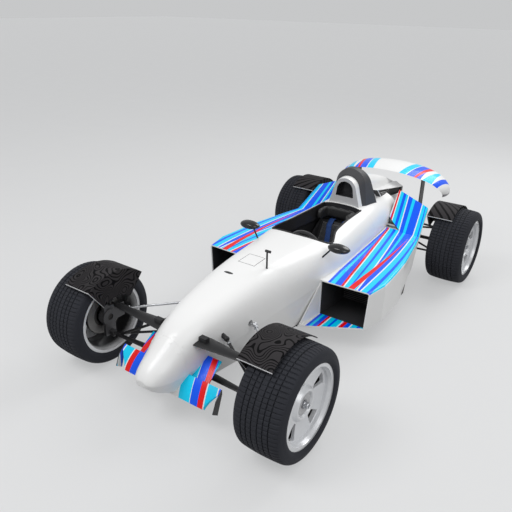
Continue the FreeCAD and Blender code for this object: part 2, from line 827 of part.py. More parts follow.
# Floor: one plate under tub and pods that rises to the tail, with two fences under the rise
floor_plan_shares = [(0.0, 0.30), (0.12, 0.36), (0.27, 0.88), (0.37, 0.95), (0.62, 0.92), (1.0, 0.62)]
floor_plan = [(f"{x} * pod_half_width", f"front_axle + floor_front + {y} * (pod_rear - floor_front)")
              for y, x in floor_plan_shares]
floor_plan += [("-" + across, up) for across, up in reversed(floor_plan)]
floor = new_body("floor_plate")
flat = padded(floor, "floor_flat", "XY_Plane", floor_plan, "floor_thickness")
tie(flat.Profile[0], {"AttachmentOffset.Base.z": "floor_top - floor_thickness / 2"})
padded(floor, "floor_rise", "YZ_Plane", [
    ("front_axle + pod_rear - cut_overrun", "floor_low"),
    ("front_axle + diffuser_front", "floor_low"),
    ("front_axle + diffuser_rear", "diffuser_height"),
    ("front_axle + diffuser_rear", "diffuser_height + floor_thickness"),
    ("front_axle + diffuser_front", "floor_top"),
    ("front_axle + pod_rear - cut_overrun", "floor_top"),
], "2 * diffuser_half_width")
fence = padded(floor, "floor_fence", "YZ_Plane", [
    ("front_axle + diffuser_front", "floor_low"),
    ("front_axle + diffuser_rear", "floor_low"),
    ("front_axle + diffuser_rear", "diffuser_height + floor_thickness / 2"),
    ("front_axle + diffuser_front", "floor_top - floor_thickness / 2"),
], "floor_thickness")
tie(fence.Profile[0], {"AttachmentOffset.Base.z": "diffuser_fence_spacing"})
keep(floor, "floor")

# Engine cover: the deck continues the hull, and the hump is a row of arches.
# Each row has the place in hump lengths, the half width at the base, the crown's radius and the height of
# the top.
hump_shares = [
    (0.0, 1.0, 0.55, 0.933),
    (0.052, 1.0, 0.572, 0.942),
    (0.260, 0.98, 0.53, 0.912),
    (0.490, 0.90, 0.46, 0.852),
    (0.758, 0.71, 0.33, 0.761),
    (1.0, 0.44, 0.19, 0.660),
]


def arch_wire(y, half, top, crown, base):
    """Arch across the car: straight legs that touch a round crown."""
    centre = Vector(0, y, top - crown)
    reach = math.hypot(half, centre.z - base)
    angle = math.atan2(base - centre.z, half) + math.acos(crown / reach)
    touch = centre + Vector(crown * math.cos(angle), 0, crown * math.sin(angle))
    other = Vector(-touch.x, y, touch.z)
    left = Vector(half, y, base)
    right = Vector(-half, y, base)
    return Part.Wire([Part.makeLine(left, touch), Part.Arc(touch, Vector(0, y, top), other).toShape(),
                      Part.makeLine(other, right), Part.makeLine(right, left)])


def hump_arch(shares, wall, shift=0):
    """One arch of the hump from its row, set in by a wall and moved along the car."""
    place, width, crown, height = shares
    y = along(value("tub_rear") + place * value("hump_length")) + shift
    return arch_wire(y, width * value("hump_half_width") - wall,
                     height * value("hoop_height") - wall, crown * value("hump_half_width") - wall,
                     value("hump_base") - (value("cut_overrun") if wall else 0))


cover_wall = value("cover_wall")
deck_space = slab("deck_space", across_car, ("front_axle + tub_rear + panel_seam", "front_axle + pod_rear"),
                  ("cover_base", "far"))
deck = common("deck", hull, deck_space)
hump = loft("hump", [hump_arch(shares, 0, value("panel_seam") if shares is hump_shares[0] else 0)
                     for shares in hump_shares])
deck_hollow = loft("deck_hollow", [hull_wire(shares, cover_wall) for shares in hull_section_shares[-4:]])
hump_hollow = loft("hump_hollow", [hump_arch(shares, cover_wall,
                                             value("airbox_depth / 2") if number == 0 else 0)
                                   for number, shares in enumerate(hump_shares[1:])])

# Flank vents: a framed grille in a fairing on each side of the hump
vent_shares = [(0.0, 0.0), (0.23, -0.76), (0.99, -1.0), (1.0, -0.69)]
fairing_shares = [(-0.06, 0.03), (0.0, -0.80), (1.06, -1.20), (1.08, -0.50)]


def vent_corners(shares, x):
    """Corners of an outline of the vent on the car's left side, at one place across it."""
    return [Vector(x, along(value("vent_front") + place * value("vent_length")),
                   value("vent_top") + drop * value("vent_drop")) for place, drop in shares]


def vent_polygon(shares, x, inset=0):
    """Outline of the vent, drawn in towards its middle."""
    corners = vent_corners(shares, x)
    middle = sum(corners, Vector()) / len(corners)
    return polygon([corner + (middle - corner).normalize() * inset for corner in corners])


vent_block = prism("vent_block", vent_polygon(vent_shares, value("vent_inner")),
                   ("vent_offset - vent_inner", "0", "0"))
vent_opening = prism("vent_opening", vent_polygon(vent_shares, value("vent_inner"),
                                                  2 * value("vent_frame")),
                     ("vent_offset", "0", "0"))
fairing = loft("vent_fairing", [vent_polygon(fairing_shares, value("vent_inner")),
                                vent_polygon(vent_shares, value("vent_offset - seat_clearance"),
                                             -value("vent_frame"))],
               ruled=True)
slats = []
slat_count = int(value("vent_slat_count"))
slat_rise = Vector(0, 0, value("vent_slat_thickness"))
front_top, front_foot, rear_foot, rear_top = vent_corners(vent_shares, value("vent_offset - vent_frame"))
for number in range(1, slat_count + 1):
    near = front_top + (front_foot - front_top) * (number / (slat_count + 1))
    away = rear_top + (rear_foot - rear_top) * (number / (slat_count + 1))
    slat_outline = polygon([near, away, away + slat_rise, near + slat_rise])
    slats.append(prism("vent_slat", slat_outline, ("-vent_frame", "0", "0")))
vent_grille = common("vent_grille", united("vent_slats", slats), vent_block)
vent_left = cut("vent_left", united("vent_whole", [cut("vent_frame_ring", vent_block, vent_opening),
                                                   vent_grille]),
                hump_hollow)
vent_piece = main_solid("vent_piece", vent_left)
vents = keep(gathered("vent_pair", [vent_piece, mirrored(vent_piece, "vent_right")]), "flank_vents")

# Engine intake: a blind recess in the front of the hump
airbox_rim = value("airbox_rim")
front_crown, front_height = hump_shares[0][2:]
airbox_crown = front_crown * value("hump_half_width") - airbox_rim
airbox_mouth = arch_wire(along(value("tub_rear - cut_overrun")), airbox_crown + cover_wall,
                         front_height * value("hoop_height") - airbox_rim, airbox_crown,
                         value("airbox_sill"))
airbox = prism("airbox", airbox_mouth, ("0", "airbox_depth", "0"))
cover_solid = united("cover_solid", [deck, hump])
cover_outside = united("cover_outside", [cover_solid, fairing, mirrored(fairing, "vent_fairing_right")])
cover_tools = united("cover_tools", [deck_hollow, hump_hollow, airbox, vent_block,
                                     mirrored(vent_block, "vent_block_right")])
engine_cover = keep(main_solid("cover_piece", cut("cover_cut", cover_outside, cover_tools)), "engine_cover")

pod_walls = united("pod_walls", [cut("pod_duct", pod_outside, pod_inside), lip, vane])
pod_tools = united("pod_tools", [hull, hump, scoop_cut])
sidepod_left = keep(main_solid("pod_piece", cut("pod_cut", pod_walls, pod_tools)), "sidepod_left")
keep(mirrored(sidepod_left, "pod_right"), "sidepod_right")

# Roll hoop: a band over the hump that flares to the rear and leans back at its feet
hoop_shares = [(0.0, 0.80, 0.956, 0.58), (0.2, 0.88, 0.996, 0.70), (1.0, 1.0, 1.004, 0.78)]
hoop_band = loft("hoop_band", [
    arch_wire(along(value("hoop_front") + place * value("hoop_rear - hoop_front")),
              width * value("hoop_half_width"),
              height * value("hoop_height"), crown * value("hoop_half_width"), value("hoop_base"))
    for place, width, height, crown in hoop_shares], ruled=True)
hoop_side = new_body("hoop_side")
padded(hoop_side, "hoop_side_pad", "YZ_Plane", [
    ("front_axle + hoop_front", "hoop_base"), ("front_axle + hoop_rear", "hoop_base"),
    ("front_axle + hoop_crown_rear", "hoop_height + cut_overrun"),
    ("front_axle + hoop_front", "hoop_height + cut_overrun"),
], "far")
hoop_cut = cut("hoop_cut", common("hoop_whole", hoop_band, hoop_side), cover_outside)
roll_hoop = keep(main_solid("hoop_piece", hoop_cut), "roll_hoop")

# Engine as one plain block, with the gearbox behind it, whose output cups take the drive shafts
engine = keep(slab("engine_block", ("-engine_half_width", "engine_half_width"),
                   ("engine_front", "gearbox_front"),
                   ("engine_base", "engine_top")), "engine")
gearbox_shares = [(0.0, 1.1, 0.15, 0.95), (0.5, 1.0, 0.25, 1.0), (1.0, 0.7, 0.62, 1.12)]
gearbox_case = loft("gearbox_case", [
    rounded_wire(value(f"gearbox_front + {place} * gearbox_length"), width * value("gearbox_half_width"),
                 value(f"engine_base + {bottom} * gearbox_height"),
                 value(f"engine_base + {top} * gearbox_height"),
                 width * value("gearbox_half_width") / 4)
    for place, width, bottom, top in gearbox_shares], ruled=True)
output_cups = bar("output_cups", ("-output_cup_reach", "rear_axle", "rear_tyre_radius"),
                  ("output_cup_reach", "rear_axle", "rear_tyre_radius"), "output_cup_radius")
cup_bore = bar("cup_bore", ("drive_shaft_inner - running_clearance", "rear_axle", "rear_tyre_radius"),
               ("output_cup_reach + cut_overrun", "rear_axle", "rear_tyre_radius"),
               "drive_shaft_radius + running_clearance")
cup_bores = gathered("cup_bores", [cup_bore, mirrored(cup_bore, "cup_bore_right")])
gearbox = keep(cut("gearbox_cut", united("gearbox_whole", [gearbox_case, output_cups]), cup_bores),
               "gearbox")

# Rear wing: aerofoil sections along a path that arches over and turns down at the tips.
# Each row has the place across in half spans, the drop in tip drops and the sweep of the leading edge in
# chords.
rear_wing_shares = [(0.0, 0.0, 0.0), (0.28, 0.028, 0.012), (0.566, 0.125, 0.05), (0.755, 0.265, 0.14),
                    (0.885, 0.445, 0.24), (0.965, 0.640, 0.34), (0.997, 0.825, 0.44), (0.985, 1.0, 0.52)]
tip_shares = [(-x, drop, sweep) for x, drop, sweep in reversed(rear_wing_shares[1:])]
aerofoil_shares = (0.32, 0.62, 0.38, 0.08)


def wing_section(place, before, after, sweep):
    """Aerofoil at a place of the path, square to the run from the place before to the place after."""
    across = (after - before).normalize()
    up = Vector(-across.z, 0, across.x)
    lead = place + Vector(0, value("rear_wing_front") + sweep * value("rear_wing_chord"), 0)
    lead -= up * value("rear_wing_incidence_rise") * (1 - sweep)
    trail = place + Vector(0, value("tail_end"), 0)
    run = trail - lead
    thick = value("rear_wing_thickness") * (1 - sweep)
    crown_share, upper_share, lower_share, edge_share = aerofoil_shares
    edge = up * thick * edge_share
    top = Part.BSplineCurve()
    top.interpolate([lead, lead + run * crown_share + up * thick * upper_share, trail + edge])
    under = Part.BSplineCurve()
    under.interpolate([trail - edge, lead + run * crown_share - up * thick * lower_share, lead])
    return Part.Wire([top.toShape(), Part.makeLine(trail + edge, trail - edge), under.toShape()])


wing_path = [Vector(x * value("rear_wing_half_span"), 0,
                    value("rear_wing_height") - drop * value("rear_wing_tip_drop"))
             for x, drop, sweep in tip_shares + rear_wing_shares]
wing_sweeps = [sweep for x, drop, sweep in tip_shares + rear_wing_shares]
rear_wing = keep(loft("rear_wing_plane", [
    wing_section(place, before, after, sweep)
    for place, before, after, sweep in zip(wing_path, wing_path[:1] + wing_path,
                                           wing_path[1:] + wing_path[-1:],
                                           wing_sweeps)]), "rear_wing")

# Wing posts stand on a beam behind the gearbox
post_left = slab("post_left", ("wing_post_offset", "wing_post_offset + wing_post_thickness"),
                 ("post_front", "post_rear"),
                 ("wing_beam_height", "rear_wing_height"))
beam = slab("wing_beam", ("-wing_post_offset - wing_post_thickness",
                          "wing_post_offset + wing_post_thickness"),
            ("post_front", "post_rear"), ("wing_beam_height", "wing_beam_height + wing_beam_depth"))
stalk = slab("wing_stalk", ("-wing_stalk_half_width", "wing_stalk_half_width"),
             ("gearbox_tail - 2 * cut_overrun", "post_rear"),
             ("engine_base + gearbox_height - cut_overrun", "wing_beam_height + wing_beam_depth"))
posts = united("post_frame", [post_left, mirrored(post_left, "post_right"), beam, stalk])
posts = cut("post_cut", posts, united("post_tools", [rear_wing, gearbox]))
wing_posts = keep(main_solid("post_piece", posts), "rear_wing_posts")

# Wheels: each corner has a rim, a tyre and a brake disc on its hub, built about X, outside towards +X


def on_axle(body, end):
    """Set a left wheel's body on its axle."""
    return tie(body, {"Placement.Base.x": f"{end}_wheel_offset", "Placement.Base.y": f"{end}_axle",
                      "Placement.Base.z": f"{end}_tyre_radius"})


def tyre_body(end):
    """Tyre as one closed ring with a low crown, round shoulders and bowed walls."""
    half = f"{end}_tyre_width / 2"
    outer = f"{end}_tyre_radius - tyre_crown_drop"
    crown_edge = f"{half} - tyre_shoulder_radius"
    corner_bow = "tyre_shoulder_radius * (1 - sqrt(0.5))"
    body = new_body(f"tyre_{end}_body")
    turned(body, f"tyre_{end}", [
        ("-tyre_foot", "tyre_bead_radius"), ("tyre_foot", "tyre_bead_radius"), ("tyre_foot", "tyre_heel"),
        (f"{half} - tyre_wall_bulge", "tyre_heel"), (half, f"{outer} - tyre_shoulder_radius"),
        (crown_edge, outer),
        (f"-({crown_edge})", outer), (f"-({half})", f"{outer} - tyre_shoulder_radius"),
        (f"-({half} - tyre_wall_bulge)", "tyre_heel"), ("-tyre_foot", "tyre_heel"),
    ], {3: "tyre_wall_bulge", 4: corner_bow, 5: "tyre_crown_drop", 6: corner_bow, 7: "tyre_wall_bulge"})
    return on_axle(body, end)


def rim_body(end):
    """Deep rim: a barrel with flanges, a dished face with a raised hub ring, and windows."""
    body = new_body(f"rim_{end}_body")
    half = "rim_width / 2"
    lip = "flange_thickness"
    turned(body, f"barrel_{end}", [
        (f"-{half}", "rim_inside"), (f"-{half} + 3 * {lip}", "rim_inside - rim_drop_depth / 2"),
        ("0", "rim_inside - rim_drop_depth"), (f"{half} - 3 * {lip}", "rim_inside - rim_drop_depth / 2"),
        (half, "rim_inside"), (half, "flange_radius"), (f"{half} - {lip}", "flange_radius"),
        (f"{half} - {lip}", "rim_seat"),
        (f"{half} - 4 * {lip}", "rim_seat"), (f"{half} - 6 * {lip}", "rim_seat - rim_drop_depth / 2"),
        ("0", "rim_seat - rim_drop_depth"), (f"-{half} + 6 * {lip}", "rim_seat - rim_drop_depth / 2"),
        (f"-{half} + 4 * {lip}", "rim_seat"), (f"-{half} + {lip}", "rim_seat"),
        (f"-{half} + {lip}", "flange_radius"),
        (f"-{half}", "flange_radius")])
    turned(body, f"face_{end}", [
        ("rim_face", "hub_bore"), ("rim_face + hub_cap_thickness", "hub_bore"),
        ("rim_face + hub_cap_thickness", "hub_ring_radius"),
        ("rim_face + hub_ring_height", "hub_ring_radius + hub_ring_slope"),
        ("rim_face + hub_ring_height", "hub_ring_radius + hub_ring_slope + hub_ring_top"),
        ("rim_face + rim_face_thickness",
         "hub_ring_radius + hub_ring_slope + hub_ring_top + hub_ring_fall"),
        ("rim_face + 2 * rim_face_thickness", "rim_inside - rim_drop_depth / 4"),
        ("rim_face", "rim_inside - rim_drop_depth / 4")],
           {3: "hub_ring_slope / 2", 5: "-rim_face_thickness / 3"})
    window = pocketed(body, f"window_{end}", "YZ_Plane", [
        ("-rim_window_outer_half_width", "rim_window_outer_radius"),
        ("-rim_window_inner_half_width", "rim_window_inner_radius"),
        ("rim_window_inner_half_width", "rim_window_inner_radius"),
        ("rim_window_outer_half_width", "rim_window_outer_radius")], "rim_width",
        {3: "rim_window_outer_half_width / 10"})
    windows = body.newObject("PartDesign::PolarPattern", f"windows_{end}")
    windows.Originals = [window]
    windows.Axis = (window.Profile[0], ["N_Axis"])
    windows.Angle = 360
    windows.Occurrences = int(value("rim_window_count"))
    body.Tip = windows
    return on_axle(body, end)


def hub_body(end):
    """Brake disc on its bell, with the stub axle and, at the rear, the drive shaft."""
    disc = f"upright_outer - {end}_wheel_offset + 2 * running_clearance"
    stub = f"{disc} - upright_thickness - 2 * running_clearance"
    body = new_body(f"hub_{end}_body")
    turned(body, f"disc_{end}", [
        (stub, "0"), ("hub_face", "0"), ("hub_face", "disc_bell_radius"),
        (f"{disc} + disc_thickness", "disc_bell_radius"),
        (f"{disc} + disc_thickness", "disc_radius"), (disc, "disc_radius"),
        (disc, "disc_bell_radius - disc_bell_wall"),
        ("hub_face - disc_bell_wall", "disc_bell_radius - disc_bell_wall"),
        ("hub_face - disc_bell_wall", "axle_radius"),
        (stub, "axle_radius")])
    if end == "rear":
        turned(body, "drive_shaft", [
            ("drive_shaft_inner - rear_wheel_offset", "0"), (f"{stub} + cut_overrun", "0"),
            (f"{stub} + cut_overrun", "drive_shaft_radius"),
            ("drive_shaft_inner - rear_wheel_offset", "drive_shaft_radius")])
    return on_axle(body, end)


for end in ("front", "rear"):
    for kind, make in (("rim", rim_body), ("tyre", tyre_body), ("hub", hub_body)):
        left_piece = keep(make(end), f"{kind}_{end}_left")
        keep(mirrored(left_piece, f"{kind}_{end}_mirror"), f"{kind}_{end}_right")

# Uprights: a plate with a bearing housing, a caliper and ears that hold the pins of the rod ends


def ears(name, y, level):
    """Two ears and the pin between them about one rod end."""
    x = ("kingpin_offset - rod_end_radius", "upright_inner + ear_thickness")
    across = (f"{y} - rod_end_radius", f"{y} + rod_end_radius")
    return [
        slab(name + "_low", x, across, (f"{level} - ear_stack", f"{level} - ear_stack + ear_thickness")),
        slab(name + "_high", x, across, (f"{level} + ear_stack - ear_thickness", f"{level} + ear_stack")),
        bar(name + "_pin", ("kingpin_offset", y, f"{level} - ear_stack"),
            ("kingpin_offset", y, f"{level} + ear_stack"),
            "kingpin_pin_radius"),
    ]


def upright(end):
    """Left upright of one axle."""
    y = f"{end}_axle"
    z = f"{end}_tyre_radius"
    foot = f"{z} + cowl_web_radius"
    parts = [
        slab(f"plate_{end}", ("upright_inner", "upright_inner + upright_thickness / 2"),
             (f"{y} - upright_depth / 2", f"{y} + upright_depth / 2"),
             (f"{z} - kingpin_half_height - ear_stack", f"{z} + kingpin_half_height + ear_stack")),
        bar(f"housing_{end}", ("upright_inner - running_clearance", y, z), ("upright_outer", y, z),
            "bearing_radius"),
        slab(f"caliper_{end}", ("upright_inner + upright_thickness / 3",
                                "upright_outer + running_clearance"),
             (f"{y} + caliper_start", f"{y} + disc_radius"),
             (f"{z} - caliper_half_height", f"{z} + caliper_half_height")),
        slab(f"foot_{end}", ("cowl_inner_offset + seat_clearance", "upright_inner + ear_thickness"),
             (f"{y} - rod_end_radius", f"{y} + rod_end_radius"), (foot, f"{foot} + cowl_foot_height")),
        slab(f"neck_{end}", ("upright_inner", "upright_inner + 2 * ear_thickness"),
             (f"{y} - rod_end_radius", f"{y} + rod_end_radius"),
             (f"{z} + kingpin_half_height", f"{foot} + cowl_foot_height")),
    ]
    parts += ears(f"ear_{end}_bottom", y, f"{z} - kingpin_half_height")
    parts += ears(f"ear_{end}_top", y, f"{z} + kingpin_half_height")
    if end == "front":
        parts += ears("ear_steering", f"{y} + steering_arm_length", "tie_rod_height")
        parts.append(slab("steering_arm", ("upright_inner", "upright_inner + upright_thickness / 2"),
                          (f"{y} + upright_depth / 2 - ear_thickness",
                           f"{y} + steering_arm_length + rod_end_radius"),
                          ("tie_rod_height - ear_stack", "tie_rod_height + ear_stack")))
    tools = [
        bar(f"bore_{end}", ("kingpin_offset", y, z), ("kingpin_offset + 4 * upright_thickness", y, z),
            "axle_radius + pin_clearance"),
        bar(f"disc_path_{end}", ("upright_outer + running_clearance", y, z),
            ("upright_outer + 2 * upright_thickness", y, z),
            "disc_radius + running_clearance"),
    ]
    return cut(f"upright_{end}", united(f"upright_block_{end}", parts),
               united(f"upright_tools_{end}", tools))


def cowl(end):
    """Left cowl: a curved shell over the inner top of the tyre, with a web down to the upright's foot."""
    body = new_body(f"cowl_{end}")
    radius = f"{end}_tyre_radius + cowl_gap"
    outlines = {
        "shell": [("cowl_inner_offset - cowl_thickness", radius), ("cowl_outer_offset", radius),
                  ("cowl_outer_offset", f"{radius} + cowl_thickness"),
                  ("cowl_inner_offset - cowl_thickness", f"{radius} + cowl_thickness")],
        "web": [("cowl_inner_offset - cowl_thickness", "cowl_web_radius"),
                ("cowl_inner_offset", "cowl_web_radius"),
                ("cowl_inner_offset", f"{radius} + cowl_thickness / 2"),
                ("cowl_inner_offset - cowl_thickness", f"{radius} + cowl_thickness / 2")],
    }
    for name, corners in outlines.items():
        turn = turned(body, f"{name}_{end}", corners)
        turn.Angle = value("cowl_rear_angle - cowl_front_angle")
        tie(turn, {"Angle": "cowl_rear_angle - cowl_front_angle"})
        turn.Reversed = True
    tie(body, {"Placement.Base.y": f"{end}_axle", "Placement.Base.z": f"{end}_tyre_radius"})
    body.Placement.Rotation = Rotation(Vector(1, 0, 0), 180 - value("cowl_front_angle"))
    return body


front_upright = keep(upright("front"), "front_upright_left")
keep(mirrored(front_upright, "upright_front_right"), "front_upright_right")
rear_upright = upright("rear")
keep(gathered("rear_upright_pair", [rear_upright, mirrored(rear_upright, "upright_rear_right")]),
     "rear_uprights")
front_cowl = keep(cowl("front"), "front_cowl_left")
keep(mirrored(front_cowl, "cowl_front_right"), "front_cowl_right")
rear_cowl = cowl("rear")
keep(gathered("rear_cowl_pair", [rear_cowl, mirrored(rear_cowl, "cowl_rear_right")]), "rear_cowls")

# Front arms: an upper blade, a lower arm with a blade and a round leg that also carries the push rod


def eye(name, y, level):
    """Eye of a rod end about a vertical pin."""
    return bar(name, ("kingpin_offset", y, f"{level} - eye_half"),
               ("kingpin_offset", y, f"{level} + eye_half"),
               "rod_end_radius")


def pin_bore(name, y, level):
    """Hole of a rod end for its pin."""
    return bar(name, ("kingpin_offset", y, f"{level} - rod_end_height"),
               ("kingpin_offset", y, f"{level} + rod_end_height"),
               "kingpin_pin_radius + pin_clearance")


def blade(name, rows):
    """Flat faired arm through lens sections: each row has a centre, a chord and a thickness."""
    wires = []
    for centre_texts, chord, thickness in rows:
        centre = point(centre_texts)
        half_chord = Vector(0, value(chord) / 2, 0)
        half_thick = Vector(0, 0, value(thickness) / 2)
        lead = centre - half_chord
        trail = centre + half_chord
        wires.append(Part.Wire([Part.Arc(lead, centre + half_thick, trail).toShape(),
                                Part.Arc(trail, centre - half_thick, lead).toShape()]))
    return loft(name, wires, ruled=True)


high = "front_tyre_radius + kingpin_half_height"
bottom = "front_tyre_radius - kingpin_half_height"
upper_parts = [
    blade("upper_blade", [(("arm_root_offset", "front_axle", high), "upper_blade_inner_chord",
                           "upper_blade_thickness"),
                          (("kingpin_offset - 3 * rod_end_radius", "front_axle", high),
                           "upper_blade_outer_chord",
                           "upper_blade_outer_thickness")]),
    bar("upper_neck", ("kingpin_offset - 4 * rod_end_radius", "front_axle", high),
        ("eye_edge", "front_axle", high),
        "arm_neck_radius"),
    slab("upper_clevis", ("clevis_offset - clevis_length / 2", "clevis_offset + clevis_length / 2"),
         ("front_axle - clevis_place", "front_axle - clevis_place + clevis_width"),
         (high, f"{high} + clevis_height")),
    eye("upper_eye", "front_axle", high),
]
lower_parts = [
    blade("lower_blade", [(("arm_root_offset", "front_axle + clevis_place", bottom),
                           "lower_blade_inner_chord",
                           "lower_blade_thickness"),
                          (("kingpin_offset - 2 * rod_end_radius", "front_axle", bottom),
                           "lower_blade_outer_chord",
                           "lower_blade_thickness")]),
    bar("lower_leg", ("kingpin_offset - rod_end_radius", "front_axle", bottom),
        ("arm_root_offset", "front_axle + lower_arm_spread", bottom), "arm_radius"),
    bar("push_rod", ("push_rod_offset", "front_axle + rod_end_radius", bottom),
        ("rocker_offset", "front_axle + rocker_place", "rocker_height"), "push_rod_radius"),
    bar("rocker", ("rocker_offset", "front_axle + rocker_place", "rocker_height"),
        ("rocker_offset - rocker_length", "front_axle + rocker_place", "rocker_height + rocker_length / 2"),
        "rocker_radius"),
    ball("rocker_ball", ("rocker_offset", "front_axle + rocker_place", "rocker_height"),
         "rocker_ball_radius"),
    eye("lower_eye", "front_axle", bottom),
]
front_arms = []
for name, parts, level in (("upper_arm", upper_parts, high), ("lower_arm", lower_parts, bottom)):
    tools = united(name + "_tools", [hull, pin_bore(name + "_bore", "front_axle", level)])
    arm = main_solid(name, cut(name + "_cut", united(name + "_whole", parts), tools))
    front_arms += [arm, mirrored(arm, name + "_right")]
keep(gathered("front_arm_set", front_arms), "front_arms")

# Rear arms carry the rear uprights from the gearbox
rear_root_shares = (0.2, 0.85)
rear_arms = []
for name, level, root_height_shares in (
        ("rear_upper", "rear_tyre_radius + kingpin_half_height", (0.85, 0.95)),
        ("rear_lower", "rear_tyre_radius - kingpin_half_height", (0.28, 0.66))):
    legs = [eye(name + "_eye", "rear_axle", level)]
    for place, root_height in zip(rear_root_shares, root_height_shares):
        legs.append(bar(name + "_leg", ("eye_edge", "rear_axle", level),
                        ("0", f"gearbox_front + {place} * gearbox_length",
                         f"engine_base + {root_height} * gearbox_height"),
                        "arm_radius"))
    tools = united(name + "_tools", [gearbox, pin_bore(name + "_bore", "rear_axle", level)])
    arm_cut = cut(name + "_cut", united(name + "_whole", legs), tools)
    document.recompute()
    arm = feature(name, max(arm_cut.Shape.Solids, key=lambda solid: solid.BoundBox.XMax))
    rear_arms += [arm, mirrored(arm, name + "_right")]
keep(gathered("rear_arm_set", rear_arms), "rear_arms")

# Tie rods: an eye on the steering arm, a bar back to a ball joint and the rack's end, which slides in the
# tub's side
pin_y = "front_axle + steering_arm_length"
rack_ball = ("rack_ball_offset", "front_axle + rack_place", "rack_height")
tie_rod = united("tie_rod_whole", [
    eye("tie_rod_eye", pin_y, "tie_rod_height"),
    bar("tie_rod_bar", ("eye_edge", f"{pin_y} + kingpin_pin_radius", "tie_rod_height"), rack_ball,
        "tie_rod_radius"),
    ball("tie_rod_ball", rack_ball, "rack_ball_radius"),
    bar("rack_end", rack_ball, ("rack_inner", "front_axle + rack_place", "rack_height"), "tie_rod_radius"),
])
tie_rod = keep(cut("tie_rod_cut", tie_rod, pin_bore("tie_rod_bore", pin_y, "tie_rod_height")),
               "tie_rod_left")
keep(mirrored(tie_rod, "tie_rod_mirror"), "tie_rod_right")

# Cockpit: dashboard, steering column and wheel, built about their own axis and then leaned back
rake = math.radians(value("column_rake"))
column_axis = Vector(0, math.cos(rake), math.sin(rake))
wheel_place = Placement(point(("0", "front_axle + steering_wheel_place", "steering_wheel_height")),
                        Rotation(Vector(0, 0, 1), column_axis))
column = bar("column", ("0", "0", "-column_length"), ("0", "0", "-steering_boss_length"), "column_radius")
column_bore = bar("column_bore", ("0", "0", "-2 * column_length"), ("0", "0", "0"),
                  "column_radius + seat_clearance")
steering_column = gathered("column_set", [column])
dash_bore = gathered("dash_bore", [column_bore])
torus = document.addObject("Part::Torus", "wheel_rim")
tie(torus, {"Radius1": "steering_wheel_radius", "Radius2": "steering_rim_radius"})
spoke = slab("spoke", ("-spoke_half_width", "spoke_half_width"), ("0", "steering_wheel_radius"),
             ("-spoke_half_thickness", "spoke_half_thickness"))
boss = bar("wheel_boss", ("0", "0", "seat_clearance - steering_boss_length"),
           ("0", "0", "spoke_half_thickness"),
           "steering_boss_radius")
wheel_parts = [torus, boss, spoke]
for number in range(1, int(value("spoke_count"))):
    turned_spoke = gathered("turned_spoke", [spoke])
    turned_spoke.Placement = Placement(Vector(), Rotation(Vector(0, 0, 1),
                                                          360 * number / value("spoke_count")))
    wheel_parts.append(turned_spoke)
steering_wheel = united("steering_wheel_whole", wheel_parts)
for item in (steering_column, dash_bore, steering_wheel):
    item.Placement = wheel_place
keep(steering_column, "steering_column")
keep(steering_wheel, "steering_wheel")
dash_slab = slab("dash_slab", across_car, ("front_axle + dash_place",
                                           "front_axle + dash_place + dash_thickness"),
                 ("dash_bottom", "far"))
keep(cut("dash_cut", common("dash_plate", dash_slab, well), dash_bore), "dashboard")

# Seat: a shell with raised sides; headrest: a pad that wraps round behind the head
seat = new_body("seat_shell")
seat_line = [("front_axle + seat_front", "seat_base + 3 * seat_shell"),
             ("front_axle + seat_hip", "seat_base + seat_shell"),
             ("front_axle + seat_back_top", "seat_back_height")]
padded(seat, "seat_sides", "YZ_Plane", [
    ("front_axle + seat_front", "seat_base"), ("front_axle + seat_hip + seat_shell", "seat_base"),
    ("front_axle + seat_back_top + seat_shell", "seat_back_height"), seat_line[2],
    ("front_axle + seat_hip - seat_side", "seat_base + 2 * seat_side"),
    ("front_axle + seat_front", "seat_base + seat_side"),
], "2 * seat_half_width", {4: "seat_shell / 2"})
pocketed(seat, "seat_pan", "YZ_Plane", [
    ("front_axle + seat_front - cut_overrun", "seat_base + 3 * seat_shell"), *seat_line,
    ("front_axle + seat_back_top", "seat_back_height + cut_overrun"),
    ("front_axle + seat_front - cut_overrun", "seat_back_height + cut_overrun"),
], "2 * (seat_half_width - seat_shell)", {2: "seat_shell"})
keep(seat, "seat")

headrest = new_body("headrest_pad")
pad_rear = "front_axle + cockpit_rear - seat_clearance"
pad_front = f"{pad_rear} - headrest_arm"
headrest_outline = [
    ("headrest_half_width", pad_front), ("headrest_half_width", pad_rear),
    ("-headrest_half_width", pad_rear),
    ("-headrest_half_width", pad_front), ("-headrest_half_width + headrest_pad / 2", pad_front),
    ("-headrest_half_width + headrest_pad", f"{pad_rear} - headrest_pad"),
    ("headrest_half_width - headrest_pad", f"{pad_rear} - headrest_pad"),
    ("headrest_half_width - headrest_pad / 2", pad_front)]
rest = padded(headrest, "headrest_form", "XY_Plane", headrest_outline, "headrest_height")
tie(rest.Profile[0], {"AttachmentOffset.Base.z": "headrest_bottom + headrest_height / 2"})
document.recompute()
rounding = headrest.newObject("PartDesign::Fillet", "headrest_rounding")
top_edges = [f"Edge{number}" for number, edge in enumerate(rest.Shape.Edges, start=1)
             if edge.BoundBox.ZMin > value("headrest_bottom + headrest_height / 2")]
rounding.Base = (rest, top_edges)
tie(rounding, {"Radius": "headrest_rounding"})
keep(headrest, "headrest")

# Mirrors on stems, aerial, tail lamp and exhausts


def mirror_wire(place, share):
    """Oval section of a mirror housing."""
    oval = Part.Ellipse(Vector(), share * value("mirror_half_width"),
                        share * value("mirror_half_height")).toShape()
    oval.Placement = Placement(point(("mirror_offset",
                                      f"front_axle + mirror_place + {place} * mirror_length",
                                      "mirror_height")), Rotation(Vector(1, 0, 0), 90))
    return Part.Wire([oval])


